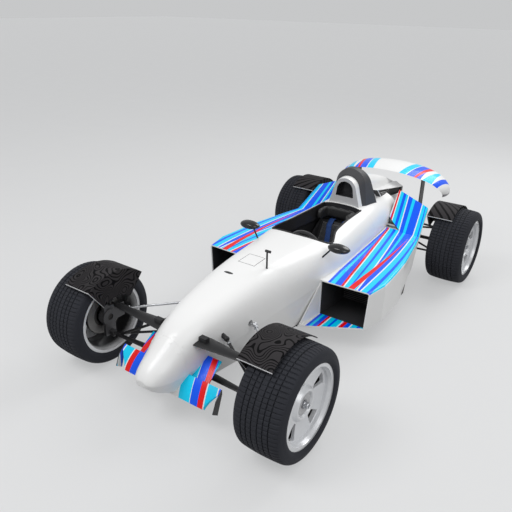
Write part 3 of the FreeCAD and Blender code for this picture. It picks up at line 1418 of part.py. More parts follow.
mirror_shares = [(-0.5, 0.40), (-0.35, 0.74), (-0.1, 0.94), (0.5, 1.0)]
mirror_head = loft("mirror_head", [mirror_wire(place, share) for place, share in mirror_shares])
mirror_stem = bar("mirror_stem", ("mirror_offset - mirror_half_width / 2", "front_axle + mirror_place",
                                  "mirror_height"),
                  ("cockpit_inner_half_width", "front_axle + mirror_place - mirror_length / 2",
                   "mirror_height - mirror_foot_drop"), "mirror_stem_radius")
mirror_left = main_solid("mirror_left", cut("mirror_cut",
                                            united("mirror_whole", [mirror_head, mirror_stem]), hull))
keep(gathered("mirror_pair", [mirror_left, mirrored(mirror_left, "mirror_right")]), "mirrors")

aerial_y = "front_axle + antenna_place"
aerial = united("aerial_whole", [
    bar("aerial_mast", ("antenna_offset", aerial_y, "cockpit_inner_top"),
        ("antenna_offset", aerial_y, "antenna_top"),
        "antenna_radius"),
    bar("aerial_head", ("antenna_offset - antenna_head_back", aerial_y, "antenna_top"),
        ("antenna_offset + antenna_head_reach", aerial_y, "antenna_top"), "antenna_head_radius"),
])
keep(cut("aerial_cut", aerial, hull), "antenna")

lamp = new_body("lamp_body")
lamp_pad = padded(lamp, "lamp_form", "XZ_Plane", [
    ("-lamp_half_width", "wing_beam_height - lamp_half_width"),
    ("lamp_half_width", "wing_beam_height - lamp_half_width"),
    ("lamp_half_width", "wing_beam_height + wing_beam_depth"),
    ("-lamp_half_width", "wing_beam_height + wing_beam_depth"),
], "lamp_depth")
tie(lamp_pad.Profile[0], {"AttachmentOffset.Base.z": "-(post_rear + seat_clearance + lamp_depth / 2)"})
document.recompute()
lamp_rounding = lamp.newObject("PartDesign::Fillet", "lamp_rounding")
lamp_rounding.Base = (lamp_pad, [f"Edge{number}" for number,
                                 edge in enumerate(lamp_pad.Shape.Edges, start=1)
                                 if edge.BoundBox.YMin > value("post_rear + lamp_depth / 2")])
tie(lamp_rounding, {"Radius": "lamp_rounding"})
keep(lamp, "tail_lamp")

pipe_x = "engine_half_width - exhaust_radius"
pipe_z = "engine_top - exhaust_drop"
pipe_y = "gearbox_front + seat_clearance"
pipe = cut("pipe_left", bar("pipe_outside", (pipe_x, pipe_y, pipe_z),
                            (pipe_x, f"{pipe_y} + exhaust_length", pipe_z),
                            "exhaust_radius"),
           bar("pipe_inside", (pipe_x, f"{pipe_y} + exhaust_wall", pipe_z),
               (pipe_x, f"{pipe_y} + exhaust_length + cut_overrun", pipe_z),
               "exhaust_radius - exhaust_wall"))
keep(gathered("pipe_pair", [pipe, mirrored(pipe, "pipe_right")]), "exhausts")

document.recompute()
for item in document.Objects:
    if "Invalid" in item.State or "Error" in item.State:
        raise RuntimeError("a document object failed: " + item.Label)
for piece in pieces:
    if piece.Shape.isNull() or not piece.Shape.isValid():
        raise RuntimeError("a piece has no valid shape: " + piece.Label)

os.makedirs("parts", exist_ok=True)
for piece in pieces:
    piece.Shape.exportStep(os.path.join("parts", piece.Label + ".step"))
    print(piece.Label, len(piece.Shape.Solids), "solids")
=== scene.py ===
import math

import bpy
from mathutils import Matrix, Vector
from mathutils.bvhtree import BVHTree


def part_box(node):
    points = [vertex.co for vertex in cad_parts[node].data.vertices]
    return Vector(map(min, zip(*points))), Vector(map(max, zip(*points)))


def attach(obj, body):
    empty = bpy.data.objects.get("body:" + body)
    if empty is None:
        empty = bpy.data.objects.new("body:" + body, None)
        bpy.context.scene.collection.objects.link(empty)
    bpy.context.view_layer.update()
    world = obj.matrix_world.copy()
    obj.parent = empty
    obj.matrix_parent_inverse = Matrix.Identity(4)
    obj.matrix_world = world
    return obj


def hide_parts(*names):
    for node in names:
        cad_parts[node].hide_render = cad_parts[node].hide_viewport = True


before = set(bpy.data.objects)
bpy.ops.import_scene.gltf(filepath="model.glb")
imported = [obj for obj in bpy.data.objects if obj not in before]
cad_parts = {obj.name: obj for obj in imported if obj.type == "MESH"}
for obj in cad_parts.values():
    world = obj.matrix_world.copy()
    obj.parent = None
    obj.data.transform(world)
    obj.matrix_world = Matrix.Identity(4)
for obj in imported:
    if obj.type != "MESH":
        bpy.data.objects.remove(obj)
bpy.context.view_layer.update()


# Camera
# A normal lens stands off the front left corner, higher than the hoop and 4.6 m from the spot on the ground
# under the middle of the car. It looks down along the body.
lens_length = 40.1
view_place = (2.009, -3.491, 2.237)
view_azimuth = math.radians(35.18)
view_elevation = math.radians(24.13)
view_roll = math.radians(1.04)
camera = bpy.data.objects.new("camera", bpy.data.cameras.new("camera"))
camera.data.lens = lens_length
about_upright = Matrix.Rotation(view_azimuth, 4, "Z")
tilted_down = Matrix.Rotation(math.pi / 2 - view_elevation, 4, "X")
rolled = Matrix.Rotation(view_roll, 4, "Z")
camera.matrix_world = Matrix.Translation(view_place) @ about_upright @ tilted_down @ rolled
bpy.context.collection.objects.link(camera)
bpy.context.scene.camera = camera
bpy.context.scene.view_settings.view_transform = "Standard"


# Studio
# A wide pale floor under a soft white sky. A broad lamp stands ahead of the car on its right, one nearly as
# strong behind it and a weaker one on its left. Sky and floor are paler where they are seen than in the
# light they give.
studio_white = (0.95, 0.96, 0.97, 1)
sky_light = 0.50
sky_seen_more = 0.10
floor_grey = (0.30, 0.30, 0.30)
floor_seen_glow = 0.44
floor_reach = 60
lamps = (("key_lamp", (-2.0, -4.4, 5.9), 3.2, 175), ("fill_lamp", (4.2, -2.4, 4.0), 4.0, 80),
         ("back_lamp", (1.0, 4.6, 4.8), 4.0, 165))


def linked(tree, socket, value):
    """Give a shader socket a link or a plain value."""
    if isinstance(value, bpy.types.NodeSocket):
        tree.links.new(value, socket)
    else:
        socket.default_value = value


def maths(tree, operation, *values):
    """Output of one Math node on sockets or numbers."""
    node = tree.nodes.new("ShaderNodeMath")
    node.operation = operation
    for socket, value in zip(node.inputs, values):
        linked(tree, socket, value)
    return node.outputs[0]


def seen_directly(tree):
    """1 for rays from the camera, from gloss and through glass, and 0 for light that falls on the car."""
    rays = tree.nodes.new("ShaderNodeLightPath").outputs
    return maths(tree, "MAXIMUM", rays["Is Camera Ray"],
                 maths(tree, "MAXIMUM", rays["Is Glossy Ray"], rays["Is Transmission Ray"]))


def finish(name, colour, roughness, metallic=0.0, specular=0.5, coat=0.0, coat_roughness=0.06, sheen=0.0):
    """New material in a plain colour, with its node tree and its shader."""
    material = bpy.data.materials.new(name)
    material.use_nodes = True
    shader = material.node_tree.nodes["Principled BSDF"]
    shader.inputs["Base Color"].default_value = (*colour, 1)
    shader.inputs["Roughness"].default_value = roughness
    shader.inputs["Metallic"].default_value = metallic
    shader.inputs["Specular IOR Level"].default_value = specular
    shader.inputs["Coat Weight"].default_value = coat
    shader.inputs["Coat Roughness"].default_value = coat_roughness
    shader.inputs["Sheen Weight"].default_value = sheen
    return material, material.node_tree, shader


def clouds(tree, scale, detail=3.0):
    """Uneven grey from 0 to 1, with features of about a metre over the scale."""
    noise = tree.nodes.new("ShaderNodeTexNoise")
    tree.links.new(tree.nodes.new("ShaderNodeTexCoord").outputs["Object"], noise.inputs["Vector"])
    noise.inputs["Scale"].default_value = scale
    noise.inputs["Detail"].default_value = detail
    return noise.outputs[0]


def ranged(tree, value, low, high):
    """A 0 to 1 value spread from low to high."""
    return maths(tree, "MULTIPLY_ADD", value, high - low, low)


def uneven_gloss(tree, shader, low, high, value):
    """Roughness that wanders from low to high with a 0 to 1 value."""
    linked(tree, shader.inputs["Roughness"], ranged(tree, value, low, high))


sky = bpy.data.worlds.new("studio_sky")
sky.use_nodes = True
bpy.context.scene.world = sky
background = sky.node_tree.nodes["Background"]
background.inputs["Color"].default_value = studio_white
linked(sky.node_tree, background.inputs["Strength"],
       maths(sky.node_tree, "MULTIPLY_ADD", seen_directly(sky.node_tree), sky_seen_more, sky_light))

for lamp_name, lamp_place, lamp_size, lamp_power in lamps:
    lamp = bpy.data.objects.new(lamp_name, bpy.data.lights.new(lamp_name, "AREA"))
    lamp.data.shape = "DISK"
    lamp.data.size = lamp_size
    lamp.data.energy = lamp_power
    lamp.location = lamp_place
    lamp.rotation_euler = (-Vector(lamp_place)).to_track_quat("-Z", "Y").to_euler()
    bpy.context.collection.objects.link(lamp)

floor_corners = [(x * floor_reach, y * floor_reach, 0) for x, y in ((-1, -1), (1, -1), (1, 1), (-1, 1))]
floor_mesh = bpy.data.meshes.new("studio_floor")
floor_mesh.from_pydata(floor_corners, [], [(0, 1, 2, 3)])
studio_floor = bpy.data.objects.new("studio_floor", floor_mesh)
bpy.context.collection.objects.link(studio_floor)
floor_material, tree, shader = finish("studio_floor", floor_grey, 0.7, specular=0.1)
uneven_gloss(tree, shader, 0.6, 0.8, clouds(tree, 3))
shader.inputs["Emission Color"].default_value = studio_white
glow = maths(tree, "MULTIPLY", seen_directly(tree), floor_seen_glow)
linked(tree, shader.inputs["Emission Strength"], glow)
floor_mesh.materials.append(floor_material)


# Tub and nose
# Moulded composite shells under thick gloss white paint. The well of the cockpit is bare dark laminate, and
# the nose comes off at a fine seam. The hood has a small oval slot and the thin outline of a square panel.
front_axle = sum(end.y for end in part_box("tyre_front_left")) / 2
paint_white = (0.88, 0.88, 0.875)
paint_shade = 0.965
laminate = (0.028, 0.028, 0.031)
panel_ink = (0.02, 0.02, 0.022)
hood_height = 0.5
well_front = 0.815
well_rear = 1.972
well_half = 0.262
well_taper = 0.2
well_tip = 0.012
well_floor = 0.205
well_top = 0.58
lip_front = 1.225
lip_half = 0.258
lip_slope = 0.35
slot_aft = 0.478
slot_right = 0.028
slot_half_width = 0.0355
slot_half_length = 0.0107
panel_aft = 0.69
panel_left = 0.002
panel_half = 0.062
panel_line_width = 0.0035


def place(tree):
    """The x, y and z of the place on the piece, in metres."""
    split = tree.nodes.new("ShaderNodeSeparateXYZ")
    tree.links.new(tree.nodes.new("ShaderNodeTexCoord").outputs["Object"], split.inputs[0])
    return split.outputs


def facing(tree):
    """The x, y and z of the surface's direction."""
    split = tree.nodes.new("ShaderNodeSeparateXYZ")
    tree.links.new(tree.nodes.new("ShaderNodeNewGeometry").outputs["Normal"], split.inputs[0])
    return split.outputs


def behind(tree, y):
    """How far a place lies behind the front axle."""
    return maths(tree, "SUBTRACT", y, front_axle)


def all_of(tree, *masks):
    """1 where every mask is 1."""
    result = masks[0]
    for mask in masks[1:]:
        result = maths(tree, "MULTIPLY", result, mask)
    return result


def any_of(tree, *masks):
    """1 where any mask is 1."""
    result = masks[0]
    for mask in masks[1:]:
        result = maths(tree, "MAXIMUM", result, mask)
    return result


def over(tree, value, limit):
    """1 where a value is over a limit."""
    return maths(tree, "GREATER_THAN", value, limit)


def under(tree, value, limit):
    """1 where a value is under a limit."""
    return maths(tree, "LESS_THAN", value, limit)


def within(tree, value, low, high):
    """1 where a value lies between two limits."""
    return all_of(tree, over(tree, value, low), under(tree, value, high))


def reach(tree, first, second):
    """Distance from a point that lies two runs away, one square to the other."""
    return maths(tree, "SQRT", maths(tree, "ADD", maths(tree, "MULTIPLY", first, first),
                                     maths(tree, "MULTIPLY", second, second)))


def painted(tree, mask, top, below):
    """Colour that is the top one where the mask is 1."""
    mix = tree.nodes.new("ShaderNodeMix")
    mix.data_type = "RGBA"
    linked(tree, mix.inputs[0], mask)
    for socket, colour in ((mix.inputs[6], below), (mix.inputs[7], top)):
        linked(tree, socket, colour if isinstance(colour, bpy.types.NodeSocket) else (*colour, 1))
    return mix.outputs[2]


def coloured(tree, shader, colour):
    """Give the shader a colour that changes over the piece."""
    linked(tree, shader.inputs["Base Color"], colour)


def raised(tree, shader, height, depth):
    """Relief from a 0 to 1 height, as deep as given in metres."""
    bump = tree.nodes.new("ShaderNodeBump")
    bump.inputs["Distance"].default_value = depth
    linked(tree, bump.inputs["Height"], height)
    linked(tree, shader.inputs["Normal"], bump.outputs[0])


def gloss_paint(name):
    """Thick white paint with an even gloss and a very fine orange peel."""
    material, tree, shader = finish(name, paint_white, 0.25, specular=0.22, coat=0.25)
    uneven_gloss(tree, shader, 0.28, 0.34, clouds(tree, 4, 1))
    raised(tree, shader, clouds(tree, 420, 1), 0.0001)
    return material, tree, shader


def wear(material, *piece_nodes):
    """Put one material on nodes of the car."""
    for piece_node in piece_nodes:
        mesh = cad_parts[piece_node].data
        mesh.materials.clear()
        mesh.materials.append(material)


tub_paint, tree, shader = gloss_paint("tub_paint")
x, y, z = place(tree)
aft = behind(tree, y)
side = maths(tree, "ABSOLUTE", x)
well_edge = maths(tree, "MINIMUM", maths(tree, "MULTIPLY_ADD", aft, well_taper, well_tip), well_half)
in_well = all_of(tree, under(tree, side, well_edge), within(tree, aft, well_front, well_rear),
                 within(tree, z, well_floor, well_top))
on_lip = all_of(tree, under(tree, side, lip_half), within(tree, aft, lip_front, well_rear),
                over(tree, z, hood_height), under(tree, facing(tree)[2], lip_slope))
slot_across = maths(tree, "DIVIDE", maths(tree, "ADD", x, slot_right), slot_half_width)
slot_along = maths(tree, "DIVIDE", maths(tree, "SUBTRACT", aft, slot_aft), slot_half_length)
in_slot = all_of(tree, under(tree, reach(tree, slot_across, slot_along), 1), over(tree, z, hood_height))
from_panel = maths(tree, "MAXIMUM", maths(tree, "ABSOLUTE", maths(tree, "SUBTRACT", x, panel_left)),
                   maths(tree, "ABSOLUTE", maths(tree, "SUBTRACT", aft, panel_aft)))
on_outline = all_of(tree, within(tree, from_panel, panel_half, panel_half + panel_line_width),
                    over(tree, z, hood_height))
colour = painted(tree, clouds(tree, 2.2), paint_white, [paint_shade * part for part in paint_white])
colour = painted(tree, on_outline, panel_ink, colour)
coloured(tree, shader, painted(tree, any_of(tree, in_well, on_lip, in_slot), laminate, colour))
wear(tub_paint, "tub", "nose_cone")


# Livery bands
# Sprayed wedges in light blue, blue and red over the white, masked by hand so that they sweep and taper.
# They run along the tops of the side pods and over their inlet lips, and across the two wings.
paint_blue = (0.0, 0.105, 0.95)
paint_cyan = (0.0, 0.66, 0.98)
paint_red = (0.86, 0.005, 0.004)


def share_of(tree, value, start, end):
    """Where a value lies between two ends, from 0 to 1."""
    return maths(tree, "MULTIPLY_ADD", value, 1 / (end - start), -start / (end - start))


def wedge_colours(tree, across, run, wedges, base):
    """Colour of a panel with wedges laid over each other, from the shares across it and along its run.

    A wedge is its colour, the share where its near edge starts, how far that edge moves over the run, and
    then the same two for its far edge.
    """
    colour = base
    for wedge_colour, near, near_shift, far, far_shift in wedges:
        past_near = over(tree, across, maths(tree, "MULTIPLY_ADD", run, near_shift, near))
        before_far = under(tree, across, maths(tree, "MULTIPLY_ADD", run, far_shift, far))
        colour = painted(tree, all_of(tree, past_near, before_far), wedge_colour, colour)
    return colour


# Over a pod the wedges lean inwards to the rear. The duct inside is dark, and the scoop in the ramp is
# painted black as the shade inside a hole.
pod_wedges = ((paint_cyan, 0.340, -0.26, 0.580, -0.26), (paint_cyan, 0.725, 0.08, 0.985, 0.00),
              (paint_blue, 0.605, -0.26, 0.700, 0.08), (paint_blue, 0.035, 0.00, 0.270, -0.26),
              (paint_cyan, 0.090, 0.00, 0.165, -0.12), (paint_cyan, 0.610, -0.14, 0.610, -0.05),
              (paint_blue, 0.430, -0.26, 0.465, -0.21), (paint_blue, 0.830, 0.06, 0.895, 0.02),
              (paint_red, 0.270, -0.26, 0.315, -0.26), (paint_red, 0.500, 0.30, 0.600, 0.16))
duct_grey = (0.04, 0.04, 0.043)
scoop_painted_shade = (0.006, 0.006, 0.007)
top_front = 1.275
top_rear = 2.515
top_foot = 0.3
top_facing = 0.45
level_facing = 0.5
inner_edge = 0.345
inner_edge_shift = -0.081
outer_edge = 0.726
outer_edge_shift = -0.0495
outer_edge_bow = 0.132
inlet_lip_inner = 0.31
inlet_lip_outer = 0.68
inlet_lip_run = 0.2
inlet_lip_height = 0.19
duct_front = 1.1
duct_wall_facing = -0.3
duct_corner_share = 0.06
duct_corner_height = 0.455
duct_corner_facing = 0.4
scoop_mouth_front = 2.249
scoop_mouth_rear = 2.33
scoop_mouth_foot = 0.46
scoop_mouth_reach = 0.42
scoop_mouth_facing = 0.3
scoop_side_front = 2.24
scoop_side_rear = 2.51
scoop_side_foot = 0.43
scoop_side_reach = 0.30
pod_paint, tree, shader = gloss_paint("pod_paint")
x, y, z = place(tree)
nx, ny, nz = facing(tree)
aft = behind(tree, y)
side = maths(tree, "ABSOLUTE", x)
outward = maths(tree, "MULTIPLY", nx, maths(tree, "SIGN", x))
run = share_of(tree, aft, top_front, top_rear)
inner = maths(tree, "MULTIPLY_ADD", run, inner_edge_shift, inner_edge)
outer = maths(tree, "SUBTRACT", maths(tree, "MULTIPLY_ADD", run, outer_edge_shift, outer_edge),
              maths(tree, "MULTIPLY", maths(tree, "MULTIPLY", run, run), outer_edge_bow))
across = maths(tree, "DIVIDE", maths(tree, "SUBTRACT", side, inner), maths(tree, "SUBTRACT", outer, inner))
on_top = all_of(tree, over(tree, nz, top_facing), over(tree, z, top_foot))
colour = painted(tree, on_top, wedge_colours(tree, across, run, pod_wedges, paint_white), paint_white)
on_inlet_lip = all_of(tree, under(tree, z, inlet_lip_height), under(tree, aft, duct_front),
                      over(tree, nz, level_facing))
lip_share = share_of(tree, side, inlet_lip_inner, inlet_lip_outer)
lip_colour = wedge_colours(tree, lip_share, inlet_lip_run, pod_wedges, paint_white)
colour = painted(tree, on_inlet_lip, lip_colour, colour)
duct_floor = all_of(tree, over(tree, nz, level_facing), under(tree, z, top_foot))
duct_roof = under(tree, nz, -level_facing)
duct_wall = under(tree, outward, duct_wall_facing)
duct_corner = all_of(tree, under(tree, across, duct_corner_share), under(tree, z, duct_corner_height),
                     under(tree, nz, duct_corner_facing))
in_duct = all_of(tree, over(tree, aft, duct_front),
                 any_of(tree, duct_floor, duct_roof, duct_wall, duct_corner))
in_scoop = all_of(tree, within(tree, aft, scoop_mouth_front, scoop_mouth_rear),
                  under(tree, nz, scoop_mouth_facing), over(tree, z, scoop_mouth_foot),
                  under(tree, side, scoop_mouth_reach))
on_scoop_side = all_of(tree, within(tree, aft, scoop_side_front, scoop_side_rear),
                       over(tree, outward, level_facing), over(tree, z, scoop_side_foot),
                       under(tree, side, scoop_side_reach))
colour = painted(tree, in_duct, duct_grey, colour)
# The scoop's mouth and the face behind it are painted black as shade.
coloured(tree, shader, painted(tree, any_of(tree, in_scoop, on_scoop_side), scoop_painted_shade, colour))
wear(pod_paint, "sidepod_left", "sidepod_right")

# The rear wing keeps a bare white middle and tips, with the wedges between them. Its underside is bare
# laminate.
rear_wing_wedges = ((paint_cyan, 0.240, 0.10, 0.360, 0.10), (paint_blue, 0.375, 0.10, 0.620, 0.00),
                    (paint_red, 0.500, 0.10, 0.540, 0.14), (paint_cyan, 0.640, 0.12, 0.800, 0.00),
                    (paint_blue, 0.790, 0.10, 0.860, 0.10))
wing_underside = (0.16, 0.15, 0.17)
rear_underside_facing = -0.15
wing_low, wing_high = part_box("rear_wing")
wing_paint, tree, shader = gloss_paint("rear_wing_paint")
x, y, z = place(tree)
across = maths(tree, "DIVIDE", maths(tree, "ABSOLUTE", x), wing_high.x)
chord = share_of(tree, y, wing_low.y, wing_high.y)
colour = wedge_colours(tree, across, chord, rear_wing_wedges, paint_white)
turned_down = under(tree, facing(tree)[2], rear_underside_facing)
coloured(tree, shader, painted(tree, turned_down, wing_underside, colour))
wear(wing_paint, "rear_wing")

# The front wing is banded from root to tip. Its underside and the outer faces of its end plates are bare
# laminate.
front_wing_wedges = ((paint_cyan, 0.340, -0.16, 0.550, -0.16), (paint_blue, 0.560, -0.16, 0.720, 0.00),
                     (paint_red, 0.700, -0.16, 0.800, -0.16), (paint_cyan, 0.820, -0.16, 0.990, -0.16),
                     (paint_blue, 1.010, -0.16, 2.000, 0.00))
end_plate_share = 0.985
front_underside_facing = -0.2
front_low, front_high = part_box("front_wing")
front_paint, tree, shader = gloss_paint("front_wing_paint")
x, y, z = place(tree)
across = maths(tree, "DIVIDE", maths(tree, "ABSOLUTE", x), front_high.x)
chord = share_of(tree, y, front_low.y, front_high.y)
colour = wedge_colours(tree, across, chord, front_wing_wedges, paint_white)
turned_down = under(tree, facing(tree)[2], front_underside_facing)
bare = any_of(tree, turned_down, over(tree, across, end_plate_share))
coloured(tree, shader, painted(tree, bare, laminate, colour))
wear(front_paint, "front_wing")


# Engine cover
# One white moulding whose inside is bare laminate. The air intake has a pale grey rim, rubbed flat, and a
# dark throat that is round above and square below.
intake_grey = (0.50, 0.50, 0.51)
intake_face = 1.9915
intake_depth = 2.09
intake_low = 0.70
intake_rim_facing = -0.9
throat_middle = 0.825
throat_radius = 0.0745
throat_half = 0.0825
throat_foot = 0.765
throat_overlap = 0.005
cover_middle = 0.55
inside_facing = -0.002
cover_paint, tree, shader = gloss_paint("cover_paint")
x, y, z = place(tree)
nx, ny, nz = facing(tree)
aft = behind(tree, y)
throat_arch = under(tree, reach(tree, x, maths(tree, "SUBTRACT", z, throat_middle)), throat_radius)
throat_box = all_of(tree, under(tree, maths(tree, "ABSOLUTE", x), throat_half),
                    within(tree, z, throat_foot, throat_middle + throat_overlap))
in_throat = all_of(tree, within(tree, aft, intake_face, intake_depth),
                   any_of(tree, throat_arch, throat_box))
away = maths(tree, "ADD", maths(tree, "MULTIPLY", nx, x),
             maths(tree, "MULTIPLY", nz, maths(tree, "SUBTRACT", z, cover_middle)))
on_intake_rim = all_of(tree, under(tree, aft, intake_face), over(tree, z, intake_low),
                       under(tree, ny, intake_rim_facing))
colour = painted(tree, on_intake_rim, intake_grey, paint_white)
on_inside = under(tree, away, inside_facing)
coloured(tree, shader, painted(tree, any_of(tree, in_throat, on_inside), laminate, colour))
wear(cover_paint, "engine_cover")


# Dark composite pieces
# Bare woven laminate in a satin resin: floor, suspension blades, wing posts and dashboard. The twill shows
# as a faint change of tone and relief, and road dust takes the gloss off in patches.
def ripple(tree, value, rate):
    """Wave from -1 to 1 along a value."""
    return maths(tree, "SINE", maths(tree, "MULTIPLY", value, rate))


def woven(name, colour, roughness):
    """Dark laminate with a twill of fine threads."""
    thread = 0.004
    thread_shine = 1.35
    dulling = 0.09
    material, tree, shader = finish(name, colour, roughness, specular=0.3, coat=0.1, coat_roughness=0.2)
    x, y, z = place(tree)
    warp = ripple(tree, maths(tree, "ADD", x, y), math.pi / thread)
    weft = ripple(tree, maths(tree, "SUBTRACT", maths(tree, "ADD", x, z), y), math.pi / thread)
    weave = maths(tree, "MULTIPLY_ADD", maths(tree, "MULTIPLY", warp, weft), 0.5, 0.5)
    uneven_gloss(tree, shader, roughness - dulling, roughness + dulling, clouds(tree, 14))
    coloured(tree, shader, painted(tree, weave, [thread_shine * part for part in colour], colour))
    raised(tree, shader, weave, 0.0003)
    return material


dark_laminate = woven("dark_laminate", (0.012, 0.012, 0.013), 0.45)
wear(dark_laminate, "floor", "front_arms", "rear_arms", "rear_wing_posts", "dashboard")


# Roll hoop
# A steel hoop inside a bonded fairing, which is rubbed down to a matt dark grey. The fairing closes round
# the air intake and is glued to the engine cover.
hoop_finish, tree, shader = finish("hoop_finish", (0.062, 0.062, 0.066), 0.5, specular=0.35)
grain = clouds(tree, 60, 5)
uneven_gloss(tree, shader, 0.42, 0.62, grain)
raised(tree, shader, grain, 0.0004)
wear(hoop_finish, "roll_hoop")


# Flank vents
# Louvred grilles moulded in warm grey plastic, with dust in their corners. They let hot air out of the
# engine bay under the edge of the cover.
vent_finish, tree, shader = finish("vent_finish", (0.09, 0.085, 0.08), 0.5)
coloured(tree, shader, painted(tree, clouds(tree, 30), (0.075, 0.072, 0.069), (0.035, 0.033, 0.032)))
wear(vent_finish, "flank_vents")


# Engine and gearbox
# Sand cast aluminium, rough and pale where it is dry, darker and smoother where oil has spread over it. The
# knuckles that carry the wheels are machined all over and anodised dark.
cast_metal, tree, shader = finish("cast_metal", (0.34, 0.34, 0.35), 0.5, metallic=0.75)
dry = clouds(tree, 9, 4)
coloured(tree, shader, painted(tree, dry, (0.44, 0.44, 0.45), (0.2, 0.19, 0.18)))
uneven_gloss(tree, shader, 0.38, 0.62, dry)
raised(tree, shader, clouds(tree, 160, 5), 0.0008)
wear(cast_metal, "engine", "gearbox")

milled_metal, tree, shader = finish("milled_metal", (0.10, 0.10, 0.105), 0.36, metallic=0.6)
uneven_gloss(tree, shader, 0.28, 0.48, clouds(tree, 40, 5))
raised(tree, shader, clouds(tree, 500, 2), 0.0002)
wear(milled_metal, "front_upright_left", "front_upright_right", "rear_uprights")


# Bright bars
# Tie rods and steering column are drawn steel bar with a satin plating. The rods end in eyes on the
# knuckles, and the column runs forward from the wheel through the dashboard.
plated, tree, shader = finish("plated_steel", (0.58, 0.59, 0.61), 0.3, metallic=1.0)
uneven_gloss(tree, shader, 0.24, 0.36, clouds(tree, 35, 4))
wear(plated, "tie_rod_left", "tie_rod_right", "steering_column")


# Wheels
# Cast alloy rims painted bright silver, with a turned lip. Inside they are painted near black as shade,
# which lifts to painted light towards the inboard edge. The brake discs are ground iron with rings from the
# pads.
corners = ("front_left", "front_right", "rear_left", "rear_right")
rim_silver = (0.74, 0.75, 0.77)
rim_painted_shade = (0.018, 0.018, 0.019)
rim_barrel_lit = (0.60, 0.60, 0.61)
lip_radius = 0.219
lip_polish = -0.1
barrel_radius = 0.2225
spoke_back = 0.0685
shade_fade = -24
shade_start = -1.9
shade_edge_spread = 0.6
disc_swept = (0.26, 0.255, 0.25)
disc_bare = (0.07, 0.068, 0.066)
swept_inner = 0.082
swept_outer = 0.134
pad_ring_rate = 3100


def wheel_centre(corner):
    """Centre of one wheel."""
    low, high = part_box("rim_" + corner)
    return (low + high) / 2


def wheel_radius(tree, y, z, centre):
    """How far a place lies from the axle of its wheel."""
    return reach(tree, maths(tree, "SUBTRACT", y, centre.y), maths(tree, "SUBTRACT", z, centre.z))


def rings_of(tree, value, rate):
    """Wave from 0 to 1 along a value."""
    return maths(tree, "MULTIPLY_ADD", ripple(tree, value, rate), 0.5, 0.5)


for corner in corners:
    centre = wheel_centre(corner)
    outboard = 1 if corner.endswith("left") else -1
    silver, tree, shader = finish("rim_silver_" + corner, rim_silver, 0.34, metallic=0.25, coat=0.3)
    x, y, z = place(tree)
    radius = wheel_radius(tree, y, z, centre)
    on_rim_lip = over(tree, radius, lip_radius)
    cast_gloss = ranged(tree, clouds(tree, 8, 1), 0.28, 0.36)
    rim_gloss = maths(tree, "MULTIPLY_ADD", on_rim_lip, lip_polish, cast_gloss)
    linked(tree, shader.inputs["Roughness"], rim_gloss)
    # Painted shade fills the inside of the rim and lifts to painted light towards its inboard edge, with a
    # little noise on that edge.
    out = maths(tree, "MULTIPLY", maths(tree, "SUBTRACT", x, centre.x), outboard)
    inside = all_of(tree, under(tree, out, spoke_back), under(tree, radius, barrel_radius))
    shade_edge_noise = ranged(tree, clouds(tree, 260, 2), -shade_edge_spread, shade_edge_spread)
    towards_lit_edge = maths(tree, "ADD", maths(tree, "MULTIPLY_ADD", out, shade_fade, shade_start), shade_edge_noise)
    lit_share = maths(tree, "MINIMUM", maths(tree, "MAXIMUM", towards_lit_edge, 0), 1)
    shaded_barrel = painted(tree, lit_share, rim_barrel_lit, rim_painted_shade)
    coloured(tree, shader, painted(tree, inside, shaded_barrel, rim_silver))
    raised(tree, shader, clouds(tree, 600, 2), 0.0001)
    wear(silver, "rim_" + corner)

    iron, tree, shader = finish("disc_iron_" + corner, (0.30, 0.29, 0.28), 0.35, metallic=0.9)
    x, y, z = place(tree)
    radius = wheel_radius(tree, y, z, centre)
    swept = within(tree, radius, swept_inner, swept_outer)
    coloured(tree, shader, painted(tree, swept, disc_swept, disc_bare))
    raised(tree, shader, rings_of(tree, radius, pad_ring_rate), 0.0003)
    wear(iron, "hub_" + corner)


# Radiators
# Finned aluminium cores stand across the side ducts. Flat tubes run across them, with folded fins soldered
# between.
fin_rate = 900
tube_rate = 420
tube_share = 0.2
core, tree, shader = finish("radiator_core", (0.10, 0.10, 0.105), 0.45, metallic=0.7)
x, y, z = place(tree)
tubes = over(tree, ripple(tree, z, tube_rate), tube_share)
coloured(tree, shader, painted(tree, tubes, (0.20, 0.20, 0.21), (0.05, 0.05, 0.052)))
raised(tree, shader, maths(tree, "ADD", rings_of(tree, x, fin_rate), tubes), 0.002)
wear(core, "radiators")
